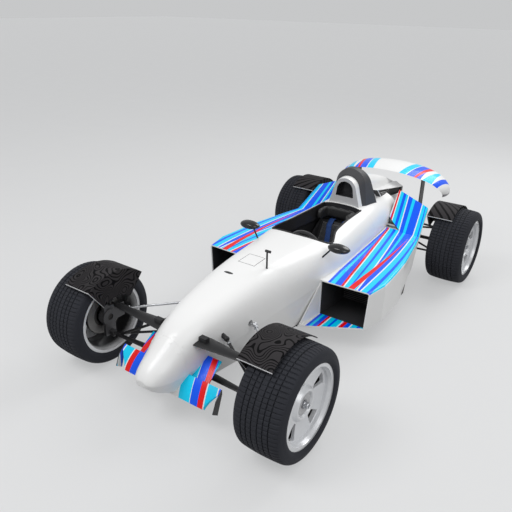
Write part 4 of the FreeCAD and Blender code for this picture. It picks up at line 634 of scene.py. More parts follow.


# Wheel cowls
# Smoked film over a bent laminate sheet. The front cowls carry wandering contour lines and the rear ones a
# fan of pleats, and each is painted pale at its end as a highlight.
film_line = (0.0015, 0.0015, 0.002)
film_pale = (0.044, 0.041, 0.043)
film_dark = (0.025, 0.023, 0.025)
edge_painted_highlight = (0.45, 0.45, 0.46)
highlight_angle = math.radians(127)
highlight_margin = 0.013
line_half = 0.17
contour_wander = 24
contour_turns = 3.0
pleats = 34
pleat_wander = 1.2
fan_root = 0.4
for end, piece_nodes in (("front", ("front_cowl_left", "front_cowl_right")), ("rear", ("rear_cowls",))):
    axle = wheel_centre(end + "_left")
    cowl_film, tree, shader = finish(end + "_cowl_film", (0.026, 0.024, 0.025), 0.6, specular=0.08)
    x, y, z = place(tree)
    turn = maths(tree, "ARCTAN2", maths(tree, "SUBTRACT", z, axle.z), maths(tree, "SUBTRACT", y, axle.y))
    if end == "front":
        contour = maths(tree, "MULTIPLY", turn, contour_turns)
        field = maths(tree, "MULTIPLY_ADD", clouds(tree, 6.0, 0.8), contour_wander, contour)
    else:
        spread = maths(tree, "ADD", maths(tree, "ABSOLUTE", turn), fan_root)
        fan = maths(tree, "DIVIDE", maths(tree, "ABSOLUTE", x), spread)
        pleated = maths(tree, "MULTIPLY", fan, pleats)
        field = maths(tree, "MULTIPLY_ADD", clouds(tree, 4, 1), pleat_wander, pleated)
    from_line = maths(tree, "ABSOLUTE", maths(tree, "SUBTRACT", maths(tree, "FRACT", field), 0.5))
    line = under(tree, from_line, line_half)
    pattern = painted(tree, line, film_line, painted(tree, clouds(tree, 8), film_pale, film_dark))
    # Painted highlight: the cowl is painted pale past this angle round the axle.
    highlight_band = over(tree, turn, highlight_angle - highlight_margin)
    coloured(tree, shader, painted(tree, highlight_band, edge_painted_highlight, pattern))
    raised(tree, shader, line, 0.0008)
    wear(cowl_film, *piece_nodes)


# Tyres
# Wide road tyres: six straight grooves, slanted cross cuts that part the ribs into blocks, a rounded
# shoulder and a plain wall. They are cured in a mould, so every block has a crisp edge.
bead_radius = 0.229
flange_seat = 0.2413
bead_half = 0.1277
tyre_halves = {"front": 0.147, "rear": 0.150}
wall_bow = 0.007
shoulder = 0.038
shoulder_bow = 0.29 * shoulder
crown_drop = 0.005
groove_pitch = 0.032
groove_places = [0.018 + groove_pitch * number for number in range(3)]
groove_half = 0.0027
groove_wall = 0.001
groove_depth = 0.007
groove_reach = 0.002
cut_depth = 0.75 * groove_depth
cut_reach = 0.6 * shoulder
blocks = 76
cuts_per_block = 4
cut_shifts = (0.0, -0.28, -0.1, 0.0)
cut_start = 0.003
cut_margin = 0.012
cut_slant = 9.0
slant_end = 0.135


def new_piece(name, vertices, faces, material, body, crease=30):
    """Mesh piece that rides on a body, smooth but for edges sharper than the crease in degrees."""
    mesh = bpy.data.meshes.new(name)
    mesh.from_pydata(vertices, [], faces)
    mesh.update()
    mesh.polygons.foreach_set("use_smooth", [True] * len(mesh.polygons))
    mesh.set_sharp_from_angle(angle=math.radians(crease))
    mesh.materials.append(material)
    piece = bpy.data.objects.new(name, mesh)
    bpy.context.collection.objects.link(piece)
    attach(piece, body)
    return piece


def turned_form(profile, columns, centre, side=1, shape=None, closed=False):
    """Vertices and faces of a profile of (out, radius) turned about X, where side is the way out.

    A shape takes the place out, the radius and the column's number, and gives both back with a shift in
    columns.
    """
    vertices = []
    for column in range(columns):
        for out, radius in profile:
            shift = 0
            if shape:
                out, radius, shift = shape(out, radius, column)
            angle = 2 * math.pi * (column + shift) / columns
            vertices.append((centre.x + side * out, centre.y + radius * math.sin(angle),
                             centre.z + radius * math.cos(angle)))
    count = len(profile)
    faces = []
    for column in range(columns):
        after = (column + 1) % columns
        for point in range(count if closed else count - 1):
            ahead = (point + 1) % count
            ring = [column * count + point, column * count + ahead, after * count + ahead,
                    after * count + point]
            faces.append(ring if side < 0 else ring[::-1])
    return vertices, faces


def arc_points(start, end, bow, steps):
    """Points of an arc between two places, bowed out to the left of its run, without its last point."""
    (x0, y0), (x1, y1) = start, end
    length = math.hypot(x1 - x0, y1 - y0)
    points = []
    for step in range(steps):
        share = step / steps
        rise = 4 * bow * share * (1 - share) / length
        points.append((x0 + (x1 - x0) * share - (y1 - y0) * rise,
                       y0 + (y1 - y0) * share + (x1 - x0) * rise))
    return points


def tread_blocks(half, outer):
    """Shape that sinks the grooves and the cross cuts of a tyre, and slants the cuts to its shoulders."""
    def shape(out, radius, column):
        distance = abs(out)
        number = column % cuts_per_block
        in_groove = any(abs(distance - groove) <= groove_half + 1e-6 for groove in groove_places)
        on_tread = cut_start < distance < half - cut_margin and radius > outer - cut_reach
        if in_groove and radius > outer - groove_reach:
            radius -= groove_depth
        elif number == 0 and on_tread:
            radius -= cut_depth
        return out, radius, cut_slant * min(distance, slant_end) + cut_shifts[number]
    return shape


rubber, tree, shader = finish("tyre_rubber", (0.020, 0.021, 0.024), 0.78, specular=0.3)
dust = clouds(tree, 11, 5)
coloured(tree, shader, painted(tree, dust, (0.026, 0.028, 0.036), (0.014, 0.015, 0.020)))
uneven_gloss(tree, shader, 0.68, 0.88, dust)
raised(tree, shader, clouds(tree, 700, 2), 0.0003)
across_tread = [0.0]
for groove in [way * groove for way in (-1, 1) for groove in groove_places]:
    rib_middle = groove + math.copysign(groove_pitch / 2, groove)
    across_tread += [groove - groove_half - groove_wall, groove - groove_half, groove + groove_half,
                     groove + groove_half + groove_wall, rib_middle]
for corner in corners:
    low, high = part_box("tyre_" + corner)
    outer = (high.z - low.z) / 2 - crown_drop
    half = tyre_halves[corner.split("_")[0]]
    crown_edge = half - shoulder
    wall_foot = (half - wall_bow, flange_seat)
    wall_top = (half, outer - shoulder)
    profile = [(-bead_half, bead_radius), (-bead_half, flange_seat)]
    profile += arc_points((-wall_foot[0], wall_foot[1]), (-wall_top[0], wall_top[1]), wall_bow, 9)
    profile += arc_points((-wall_top[0], wall_top[1]), (-crown_edge, outer), shoulder_bow, 6)
    for out in sorted([-crown_edge] + across_tread):
        profile.append((out, outer + crown_drop * (1 - (out / crown_edge) ** 2)))
    profile += arc_points((crown_edge, outer), wall_top, shoulder_bow, 6)
    profile += arc_points(wall_top, wall_foot, wall_bow, 9)
    profile += [wall_foot, (bead_half, flange_seat), (bead_half, bead_radius)]
    vertices, faces = turned_form(profile, blocks * cuts_per_block, wheel_centre(corner), 1,
                                  tread_blocks(half, outer), closed=True)
    tyre = new_piece("tread_" + corner, vertices, faces, rubber, "wheel_" + corner, crease=24)
    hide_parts("tyre_" + corner)


# Wheel centres
# Inside the raised ring of each rim sits a ribbed cap of cast metal, held by one six sided steel nut with a
# deep bore for its safety pin.
rim_face = 0.069
cap_face = rim_face + 0.020
cap_ribs = 20
rib_inner = 0.03
rib_outer = 0.058
rib_height = 0.003
nut_radius = 0.020
nut_body = 0.0185
nut_foot = cap_face + 0.013
nut_end = cap_face + 0.033
nut_bore = 0.008
nut_flat_shares = (1.08, 1.0, 0.965, 1.0)
cap_metal, tree, shader = finish("cap_metal", (0.48, 0.48, 0.49), 0.4, metallic=0.4)
uneven_gloss(tree, shader, 0.28, 0.45, clouds(tree, 60))
nut_metal, tree, shader = finish("nut_metal", (0.50, 0.51, 0.53), 0.22, metallic=1.0)
uneven_gloss(tree, shader, 0.15, 0.32, clouds(tree, 80))
cap_profile = [(cap_face - 0.004, 0.026), (cap_face + 0.004, 0.027), (cap_face + 0.005, 0.034),
               (cap_face + 0.007, 0.056), (cap_face + 0.005, 0.061), (cap_face - 0.004, 0.062)]
nut_profile = [(rim_face - 0.004, nut_radius), (cap_face + 0.012, nut_radius),
               (cap_face + 0.014, nut_body), (cap_face + 0.030, nut_body), (nut_end, 0.016),
               (nut_end, 0.010), (cap_face + 0.026, nut_bore), (rim_face - 0.004, nut_bore)]


def cap_rib(out, radius, column):
    """Shape of a cap with ribs that stand out round its face."""
    between_ribs = column % 4 < 2 and rib_inner < radius < rib_outer
    return out - (rib_height if between_ribs else 0), radius, 0


def nut_flats(out, radius, column):
    """Shape of a nut that is round at its foot and has six flats above."""
    is_round = radius < nut_body or out < nut_foot
    return out, radius * (1.0 if is_round else nut_flat_shares[column % 4]), 0


for corner in corners:
    wheel = "wheel_" + corner
    side = 1 if corner.endswith("left") else -1
    centre = wheel_centre(corner)
    vertices, faces = turned_form(cap_profile, 4 * cap_ribs, centre, side, cap_rib, closed=True)
    new_piece("wheel_cap_" + corner, vertices, faces, cap_metal, wheel, crease=20)
    vertices, faces = turned_form(nut_profile, 24, centre, side, nut_flats, closed=True)
    new_piece("wheel_nut_" + corner, vertices, faces, nut_metal, wheel, crease=25)


# Aerial
# One piece of moulded black rubber with a fine grain, screwed to the hood by its foot. The same moulded
# black is on the gauges and the gear lever.
moulded_black, tree, shader = finish("moulded_black", (0.016, 0.016, 0.017), 0.55)
uneven_gloss(tree, shader, 0.45, 0.65, clouds(tree, 90))
raised(tree, shader, clouds(tree, 900, 2), 0.0002)
wear(moulded_black, "antenna")


# Tail lamp
# A clear red lens, moulded with small square prisms on its inside, which make its colour deep and pale by
# turns. It is clipped to the wing's beam.
prism_rate = 620
lamp_red, tree, shader = finish("lamp_red", (0.55, 0.012, 0.012), 0.15, coat=0.5)
x, y, z = place(tree)
prisms = maths(tree, "MULTIPLY", maths(tree, "ABSOLUTE", ripple(tree, x, prism_rate)),
               maths(tree, "ABSOLUTE", ripple(tree, z, prism_rate)))
coloured(tree, shader, painted(tree, prisms, (0.75, 0.03, 0.02), (0.28, 0.006, 0.006)))
raised(tree, shader, prisms, 0.002)
wear(lamp_red, "tail_lamp")


# Exhausts
# Short stubs of thin steel tube stand out of the engine's rear, welded on and left bare. Heat has coloured
# them brown, more so towards the open end.
heat_start = 0.3
hot_steel, tree, shader = finish("hot_steel", (0.52, 0.50, 0.47), 0.3, metallic=1.0)
pipe_low, pipe_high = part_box("exhausts")
along_pipe = share_of(tree, place(tree)[1], pipe_low.y, pipe_high.y)
heat = maths(tree, "MULTIPLY_ADD", clouds(tree, 30), 0.3, maths(tree, "SUBTRACT", along_pipe, heat_start))
coloured(tree, shader, painted(tree, heat, (0.30, 0.20, 0.16), (0.55, 0.52, 0.46)))
wear(hot_steel, "exhausts")


# Mirrors
# Housings moulded in gloss black stand on thin stems. Each holds an oval of flat silvered glass with a
# ground edge, bedded in its open back.
glass_half_width = 0.069
glass_half_height = 0.0225
glass_inset = 0.080
glass_drop = 0.030
glass_rings = ((0.0005, 1.06), (0.0030, 1.02), (0.0022, 0.97), (0.0016, 0.5))
glass_steps = 40
gloss_black, tree, shader = finish("gloss_black", (0.008, 0.008, 0.009), 0.25, coat=0.15)
uneven_gloss(tree, shader, 0.14, 0.3, clouds(tree, 20))
wear(gloss_black, "mirrors")
mirror_glass, tree, shader = finish("mirror_glass", (0.62, 0.68, 0.75), 0.03, metallic=1.0)
uneven_gloss(tree, shader, 0.02, 0.06, clouds(tree, 12))
mirror_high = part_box("mirrors")[1]
for side_name, side in (("left", 1), ("right", -1)):
    middle = Vector((side * (mirror_high.x - glass_inset), mirror_high.y, mirror_high.z - glass_drop))
    vertices = []
    for lift, share in glass_rings:
        for step in range(glass_steps):
            angle = 2 * math.pi * step / glass_steps
            vertices.append((middle.x + share * glass_half_width * math.cos(angle), middle.y + lift,
                             middle.z + share * glass_half_height * math.sin(angle)))
    faces = []
    for ring in range(len(glass_rings) - 1):
        for step in range(glass_steps):
            after = (step + 1) % glass_steps
            faces.append([ring * glass_steps + step, (ring + 1) * glass_steps + step,
                          (ring + 1) * glass_steps + after, ring * glass_steps + after])
    faces.append([(len(glass_rings) - 1) * glass_steps + step for step in range(glass_steps)])
    new_piece("mirror_glass_" + side_name, vertices, faces, mirror_glass, "chassis",
              crease=20)


# Cockpit edge
# A soft black extrusion is pushed over the raw edge of the opening, all the way round. Its places are found
# on the hull, from the opening's width at shares of its length.
mouth_front = front_axle + 1.232
mouth_length = 0.738
mouth_half = 0.252
mouth_margin = 0.003
edge_radius = 0.0075
edge_squash = 0.8
edge_sink = 0.001
mouth_shares = [(0.0, 0.0), (0.006, 0.30), (0.02, 0.55), (0.045, 0.76), (0.075, 0.90), (0.105, 0.97),
                (0.14, 1.0), (0.18, 0.98), (0.22, 0.93), (0.275, 0.86), (0.33, 0.80), (0.40, 0.757),
                (0.48, 0.735), (0.6, 0.70), (0.72, 0.68), (0.86, 0.667), (1.0, 0.66)]
surfaces = {}


def met(piece_node, start, direction):
    """Place and outward direction where a line from a start meets a node."""
    if piece_node not in surfaces:
        surfaces[piece_node] = BVHTree.FromObject(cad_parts[piece_node],
                                                  bpy.context.evaluated_depsgraph_get())
    hit, normal, _, _ = surfaces[piece_node].ray_cast(Vector(start), Vector(direction))
    return hit, normal


def swept_form(path, section, ups):
    """Vertices and faces of a (sideways, up) section drawn along a path, with its own up at each point."""
    vertices = []
    count = len(section)
    for number, spot in enumerate(path):
        run = (path[min(number + 1, len(path) - 1)] - path[max(number - 1, 0)]).normalized()
        sideways = run.cross(ups[number]).normalized()
        upright = sideways.cross(run)
        vertices += [tuple(spot + sideways * across + upright * up) for across, up in section]
    faces = []
    for ring in range(len(path) - 1):
        for point in range(count):
            ahead = (point + 1) % count
            faces.append([ring * count + point, ring * count + ahead, (ring + 1) * count + ahead,
                          (ring + 1) * count + point])
    faces += [list(range(count))[::-1], [(len(path) - 1) * count + point for point in range(count)]]
    return vertices, faces


def round_section(radius, points=10, squash=1.0):
    """Round or oval section."""
    angles = [2 * math.pi * point / points for point in range(points)]
    return [(radius * math.cos(angle), squash * radius * math.sin(angle)) for angle in angles]


soft_black, tree, shader = finish("soft_black", (0.014, 0.014, 0.015), 0.7)
uneven_gloss(tree, shader, 0.6, 0.8, clouds(tree, 70))
raised(tree, shader, clouds(tree, 800, 2), 0.0002)
edge_path = []
edge_ups = []
for side in (-1, 1):
    for run, width in mouth_shares if side > 0 else mouth_shares[:0:-1]:
        over_edge = Vector((side * (width * mouth_half + (mouth_margin if width else 0)),
                            mouth_front + run * mouth_length - mouth_margin, 1.0))
        hit, normal = met("tub", over_edge, (0, 0, -1))
        edge_path.append(hit + normal * edge_sink)
        edge_ups.append(normal)
vertices, faces = swept_form(edge_path, round_section(edge_radius, 10, edge_squash), edge_ups)
new_piece("cockpit_edge", vertices, faces, soft_black, "chassis")


# Seat and its pads
# The bucket seat is a laminate shell with two sewn cloth pads laid in it, one behind the back and one under
# the legs. Each pad is foam in a cloth sleeve, stitched flat in channels across it and rolled over at its
# edges.
pad_half_width = 0.135
pad_columns = 37
back_pad_low = 0.300
back_pad_high = 0.545
back_pad_rows = 45
pan_pad_rows = 33
pad_gap = 0.0015
pad_cover = 0.002
side_roll = 7
side_thinning = 0.25
end_roll_rows = 4
channel_roundness = 0.4
edge_roundness = 0.5
seat_low, seat_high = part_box("seat")
ahead_of_seat = seat_low.y - 0.2
above_car = 0.9
pan_front = seat_low.y + 0.022
pan_rear = seat_low.y + 0.205
cloth_thread_rate = 2400
wear(woven("seat_laminate", (0.022, 0.022, 0.024), 0.5), "seat")
cloth, tree, shader = finish("seat_cloth", (0.030, 0.032, 0.038), 0.9, sheen=0.4)
x, y, z = place(tree)
threads = maths(tree, "MULTIPLY", ripple(tree, x, cloth_thread_rate),
                ripple(tree, maths(tree, "ADD", y, z), cloth_thread_rate))
coloured(tree, shader, painted(tree, threads, (0.055, 0.058, 0.066), (0.022, 0.023, 0.028)))
raised(tree, shader, threads, 0.0006)


def quilted_pad(name, spots, channels, thick, puff):
    """Sewn pad laid on rows of (place, direction) spots of the shell, with channels across it."""
    rows = len(spots)
    columns = len(spots[0])
    vertices = []
    for layer in (0, 1):
        for row, line in enumerate(spots):
            swelling = puff * abs(math.sin(math.pi * channels * row / (rows - 1))) ** channel_roundness
            for column, (spot, direction) in enumerate(line):
                share = 2 * column / (columns - 1) - 1
                edge = min(1.0, (1 - abs(share)) * side_roll, row / end_roll_rows,
                           (rows - 1 - row) / end_roll_rows)
                body = thick + swelling * (1 - side_thinning * share ** 2)
                lift = pad_gap if layer == 0 else pad_cover + body * max(edge, 0) ** edge_roundness
                vertices.append(tuple(spot + direction * lift))
    layer_size = rows * columns
    faces = []
    for row in range(rows - 1):
        for column in range(columns - 1):
            first = row * columns + column
            quad = [first, first + 1, first + columns + 1, first + columns]
            faces += [quad[::-1], [layer_size + point for point in quad]]
    rim = list(range(columns)) + [row * columns + columns - 1 for row in range(1, rows)]
    rim += [(rows - 1) * columns + column for column in range(columns - 2, -1, -1)]
    rim += [row * columns for row in range(rows - 2, 0, -1)]
    for first, second in zip(rim, rim[1:] + rim[:1]):
        faces.append([first, second, layer_size + second, layer_size + first])
    pad = new_piece(name, vertices, faces, cloth, "chassis", crease=60)
    return pad


across_pad = [pad_half_width * (2 * step / (pad_columns - 1) - 1) for step in range(pad_columns)]
back_spots = []
for row in range(back_pad_rows):
    height = back_pad_low + (back_pad_high - back_pad_low) * row / (back_pad_rows - 1)
    back_spots.append([met("seat", (x, ahead_of_seat, height), (0, 1, 0)) for x in across_pad])
quilted_pad("seat_back_pad", back_spots, 5, 0.008, 0.010)
pan_spots = []
for row in range(pan_pad_rows):
    y = pan_front + (pan_rear - pan_front) * row / (pan_pad_rows - 1)
    pan_spots.append([met("seat", (x, y, above_car), (0, 0, -1)) for x in across_pad])
quilted_pad("seat_pan_pad", pan_spots, 4, 0.007, 0.008)


# Headrest
# A moulded foam collar runs round the back of the opening under stitched black hide, pinched at its ends
# and drawn in a little at its seams. A pale piping cord lies in the top seam.
roll_half_width = 0.0205
roll_half_height = 0.0435
roll_points = 28
roll_margin = 0.021
roll_side_roundness = 0.55
roll_top_roundness = 0.5
collar_bend = 0.045
collar_bend_margin = 0.02
collar_step = 0.012
collar_start = 0.006
collar_straight = 0.05
end_pinch = 0.45
end_pinch_length = 0.03
seam_every = 7
seam_tuck = 0.05
piping_height = 0.0405
piping_radius = 0.002
hide, tree, shader = finish("headrest_hide", (0.020, 0.020, 0.021), 0.5)
creases = clouds(tree, 260, 6)
uneven_gloss(tree, shader, 0.4, 0.62, creases)
raised(tree, shader, creases, 0.0008)
piping, tree, shader = finish("seam_piping", (0.20, 0.20, 0.21), 0.7)
uneven_gloss(tree, shader, 0.6, 0.8, clouds(tree, 300))
rest_low, rest_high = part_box("headrest")
rest_half = rest_high.x - roll_margin
rest_back = rest_high.y - roll_margin
rest_middle = (rest_low.z + rest_high.z) / 2
collar = [Vector((rest_half, y, rest_middle))
          for y in (rest_low.y + collar_start, rest_low.y + collar_straight,
                    rest_back - collar_bend - collar_bend_margin)]
for step in range(1, 6):
    turn = math.pi / 2 * step / 6
    collar.append(Vector((rest_half - collar_bend * (1 - math.cos(turn)),
                          rest_back - collar_bend * (1 - math.sin(turn)), rest_middle)))
collar += [Vector((x, rest_back, rest_middle))
           for x in (rest_half - collar_bend - collar_bend_margin, 0)]
collar += [Vector((-spot.x, spot.y, spot.z)) for spot in reversed(collar[:-1])]
collar_line = []
for first, second in zip(collar, collar[1:]):
    steps = max(1, round((second - first).length / collar_step))
    collar_line += [first.lerp(second, step / steps) for step in range(steps)]
collar_line.append(collar[-1])
plump = []
for point in range(roll_points):
    angle = 2 * math.pi * point / roll_points
    plump_side = math.copysign(abs(math.cos(angle)) ** roll_side_roundness, math.cos(angle))
    plump_top = math.copysign(abs(math.sin(angle)) ** roll_top_roundness, math.sin(angle))
    plump.append((roll_half_width * plump_side, roll_half_height * plump_top))
vertices, faces = swept_form(collar_line, plump, [Vector((0, 0, 1))] * len(collar_line))
for ring, middle in enumerate(collar_line):
    from_end = min(ring, len(collar_line) - 1 - ring) * collar_step
    pinch = end_pinch + (1 - end_pinch) * math.sqrt(min(1.0, from_end / end_pinch_length))
    tuck = 1 - seam_tuck * abs(math.cos(math.pi * ring / seam_every))
    for number in range(ring * roll_points, (ring + 1) * roll_points):
        vertices[number] = tuple(middle + (Vector(vertices[number]) - middle) * min(pinch, tuck))
collar_pad = new_piece("headrest_collar", vertices, faces, hide, "chassis", crease=60)
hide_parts("headrest")
seam_path = [spot + Vector((0, 0, piping_height)) for spot in collar_line[3:-3]]
seam_ups = [Vector((0, 0, 1))] * len(seam_path)
vertices, faces = swept_form(seam_path, round_section(piping_radius, 6), seam_ups)
new_piece("headrest_piping", vertices, faces, piping, "chassis")


# Harness
# Dark blue polyester webbing: two shoulder straps over the back of the seat, two lap straps and one between
# the legs. They meet in one round steel buckle that lies on the seat.
webbing_rate = 2600
strap_half = 0.0225
strap_fold = 0.001
strap_thick = 0.0012
shoulder_steps = 12
shoulder_spread = 0.062
shoulder_closing = 0.040
shoulder_height = 0.53
shoulder_fall = 0.22
shoulder_lift = 0.024
shoulder_settling = 0.006
webbing, tree, shader = finish("belt_webbing", (0.012, 0.055, 0.22), 0.75)
x, y, z = place(tree)
ribs = rings_of(tree, maths(tree, "ADD", maths(tree, "ADD", x, y), z), webbing_rate)
coloured(tree, shader, painted(tree, ribs, (0.02, 0.08, 0.30), (0.008, 0.035, 0.15)))
raised(tree, shader, ribs, 0.0006)
strap_section = [(-strap_half, -strap_thick), (strap_half, -strap_thick), (strap_half + strap_fold, 0.0),
                 (strap_half, strap_thick), (-strap_half, strap_thick), (-strap_half - strap_fold, 0.0)]
buckle_aft = front_axle + 1.715
buckle_foot, buckle_up = met("seat", (0, buckle_aft, above_car), (0, 0, -1))
buckle_spot = buckle_foot + buckle_up * 0.012
straps = []
for side_name, side in (("right", -1), ("left", 1)):
    path = [Vector((side * 0.060, seat_high.y + 0.020, seat_high.z + 0.012)),
            Vector((side * 0.060, seat_high.y - 0.012, seat_high.z + 0.014))]
    ups = [Vector((0, -0.3, 1)), Vector((0, -0.6, 1))]
    for step in range(shoulder_steps):
        share = step / (shoulder_steps - 1)
        on_back = (side * (shoulder_spread - shoulder_closing * share), ahead_of_seat,
                   shoulder_height - shoulder_fall * share)
        hit, normal = met("seat", on_back, (0, 1, 0))
        path.append(hit + normal * (shoulder_lift - shoulder_settling * share))
        ups.append(normal)
    path.append(buckle_spot + Vector((side * 0.016, 0.026, 0.012)))
    ups.append(Vector((0, -0.4, 1)))
    straps.append(("shoulder_strap_" + side_name, path, ups))
    lap = [Vector((side * 0.150, buckle_aft - 0.015, 0.330)),
           Vector((side * 0.120, buckle_aft - 0.012, 0.285)),
           Vector((side * 0.075, buckle_aft - 0.007, buckle_spot.z + 0.008)),
           buckle_spot + Vector((side * 0.028, 0, 0.004))]
    lap_ups = [Vector((-side * 0.7, -0.3, 1)), Vector((-side * 0.7, -0.2, 1)), Vector((0, -0.2, 1)),
               Vector((0, -0.2, 1))]
    straps.append(("lap_strap_" + side_name, lap, lap_ups))
strap_foot, _ = met("seat", (0, front_axle + 1.60, above_car), (0, 0, -1))
crotch = [buckle_spot + Vector((0, -0.028, 0.002)), buckle_spot + Vector((0, -0.06, -0.004)),
          strap_foot + Vector((0, 0, 0.003)), strap_foot + Vector((0, -0.05, 0.008))]
straps.append(("crotch_strap", crotch, [Vector((0, 0, 1))] * len(crotch)))
for strap_name, path, ups in straps:
    vertices, faces = swept_form(path, strap_section, ups)
    new_piece(strap_name, vertices, faces, webbing, "chassis", crease=50)


def fitting(name, profile, spot, direction, material, body="chassis", columns=24, crease=25,
            shape=None):
    """Round fitting turned about a direction, from a profile of (out, radius)."""
    vertices, faces = turned_form(profile, columns, Vector(), 1, shape)
    turn = Vector((1, 0, 0)).rotation_difference(Vector(direction))
    vertices = [tuple(Vector(spot) + turn @ Vector(vertex)) for vertex in vertices]
    return new_piece(name, vertices, faces, material, body, crease)


buckle_profile = [(0.0, 0.0), (0.0, 0.026), (0.006, 0.030), (0.013, 0.030), (0.016, 0.027), (0.016, 0.020),
                  (0.013, 0.018), (0.013, 0.0)]
fitting("harness_buckle", buckle_profile, buckle_spot, (0, -0.25, 1), nut_metal)


# Steering wheel
# The grip is wrapped in suede and stitched along its inner edge. The laminate boss carries a turned cap on
# six screws, with two thumb buttons on the spokes.
column_rake = math.radians(14)
column_axis = Vector((0, math.cos(column_rake), math.sin(column_rake)))
wheel_up = Vector((0, -math.sin(column_rake), math.cos(column_rake)))
wheel_hub = Vector((0, front_axle + 1.400, 0.520))
wheel_screws = 6
screw_circle = 0.0215
screw_lift = 0.008
button_circle = 0.055
button_lift = 0.003
buttons = ((math.radians(90), (0.6, 0.02, 0.02)), (math.radians(-30), (0.02, 0.25, 0.6)))
grip_radius = 0.132
stitches = 96
stitch_depth = 0.0131
stitch_half_length = 0.0022
stitch_half_width = 0.0009
stitch_lift = 0.0012


def around_hub(turn):
    """Direction from the hub of the steering wheel, turned from the car's left towards the top."""
    return Vector((1, 0, 0)) * math.cos(turn) + wheel_up * math.sin(turn)


suede, tree, shader = finish("wheel_suede", (0.026, 0.026, 0.029), 0.95, sheen=0.5)
nap = clouds(tree, 320, 4)
coloured(tree, shader, painted(tree, nap, (0.042, 0.042, 0.046), (0.016, 0.016, 0.018)))
raised(tree, shader, nap, 0.0005)
wear(suede, "steering_wheel")
boss_profile = [(0.0035, 0.0), (0.0035, 0.031), (0.008, 0.030), (0.010, 0.026), (0.010, 0.014),
                (0.014, 0.013), (0.015, 0.0)]
screw_profile = [(0.0, 0.0), (0.0, 0.003), (0.0035, 0.003), (0.004, 0.0022), (0.0028, 0.0015),
                 (0.0028, 0.0)]
button_profile = [(0.0, 0.0), (0.0, 0.0075), (0.003, 0.008), (0.005, 0.0065), (0.0055, 0.0)]
fitting("wheel_boss_cap", boss_profile, wheel_hub, column_axis, cap_metal, body="steering_wheel")
for number in range(wheel_screws):
    turn = 2 * math.pi * number / wheel_screws
    spot = wheel_hub + column_axis * screw_lift + around_hub(turn) * screw_circle
    fitting(f"wheel_screw_{number}", screw_profile, spot, column_axis, nut_metal,
            body="steering_wheel", columns=12)
for number, (turn, colour) in enumerate(buttons):
    button_finish, tree, shader = finish(f"thumb_button_{number}", colour, 0.4)
    uneven_gloss(tree, shader, 0.3, 0.5, clouds(tree, 200))
    spot = wheel_hub + around_hub(turn) * button_circle + column_axis * button_lift
    fitting(f"thumb_button_{number}", button_profile, spot, column_axis, button_finish,
            body="steering_wheel")
vertices = []
faces = []
for number in range(stitches):
    out = around_hub(2 * math.pi * number / stitches)
    spot = wheel_hub + out * (grip_radius - stitch_depth)
    tangent = column_axis.cross(out).normalized()
    base = len(vertices)
    for along, lift in ((-1, 0), (1, 0), (1, 1), (-1, 1)):
        for across in (-1, 1):
            vertices.append(tuple(spot + tangent * stitch_half_length * along
                                  + column_axis * stitch_half_width * across - out * stitch_lift * lift))
    faces += [[base + 2 * edge, base + 2 * edge + 1, base + (2 * edge + 3) % 8, base + (2 * edge + 2) % 8]
              for edge in range(4)]
    faces += [[base, base + 2, base + 4, base + 6], [base + 1, base + 7, base + 5, base + 3]]
new_piece("grip_stitching", vertices, faces, piping, "steering_wheel")


# Gauges, switches and gear lever
# The flat dashboard carries two round gauges with plain ticks under black bezels, and five toggle switches
# along its foot. The gear lever stands on the floor to the right of the wheel, in a rubber boot.
gauge_height = 0.520
gauge_offset = 0.095
gauge_radius = 0.038
tick_count = 20
tick_share = 0.86
tick_inner = 0.026
tick_outer = 0.032
tick_lowest = -0.022
switch_height = 0.440
switch_pitch = 0.05
lever_foot = Vector((-0.196, front_axle + 1.47, 0.235))
lever_lean = (0, 0.12, 1)
dash_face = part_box("dashboard")[1].y
gauge_face, tree, shader = finish("gauge_face", (0.01, 0.01, 0.011), 0.35)
x, y, z = place(tree)
from_gauge = maths(tree, "SUBTRACT", maths(tree, "ABSOLUTE", x), gauge_offset)
above_gauge = maths(tree, "SUBTRACT", z, gauge_height)
dial_turn = maths(tree, "ARCTAN2", above_gauge, from_gauge)
tick_wave = maths(tree, "COSINE", maths(tree, "MULTIPLY", dial_turn, tick_count))
tick_ring = within(tree, reach(tree, from_gauge, above_gauge), tick_inner, tick_outer)
ticks = all_of(tree, over(tree, tick_wave, tick_share), tick_ring, over(tree, above_gauge, tick_lowest))
coloured(tree, shader, painted(tree, ticks, (0.8, 0.8, 0.78), (0.012, 0.012, 0.013)))
bezel_profile = [(0.0, gauge_radius), (0.011, gauge_radius), (0.014, gauge_radius - 0.002),
                 (0.014, gauge_radius - 0.005), (0.006, gauge_radius - 0.006)]
dial_profile = [(0.006, gauge_radius - 0.004), (0.006, 0.0)]
switch_profile = [(0.0, 0.008), (0.003, 0.008), (0.004, 0.006), (0.005, 0.0028), (0.018, 0.0024),
                  (0.022, 0.0034), (0.024, 0.0)]
lever_profile = [(0.0, 0.020), (0.004, 0.020), (0.006, 0.016), (0.022, 0.013), (0.030, 0.009),
                 (0.035, 0.0055), (0.150, 0.0045), (0.152, 0.010), (0.158, 0.015), (0.170, 0.018),
                 (0.182, 0.015), (0.188, 0.008), (0.190, 0.0)]
for side_name, side in (("left", 1), ("right", -1)):
    spot = Vector((side * gauge_offset, dash_face, gauge_height))
    fitting("gauge_bezel_" + side_name, bezel_profile, spot, (0, 1, 0), moulded_black,
            columns=40)
    fitting("gauge_dial_" + side_name, dial_profile, spot, (0, 1, 0), gauge_face,
            columns=40)
for number in range(5):
    spot = Vector(((number - 2) * switch_pitch, dash_face, switch_height))
    fitting(f"dash_switch_{number}", switch_profile, spot, (0, 1, 0), nut_metal, columns=12)
fitting("gear_lever", lever_profile, lever_foot, lever_lean, moulded_black)


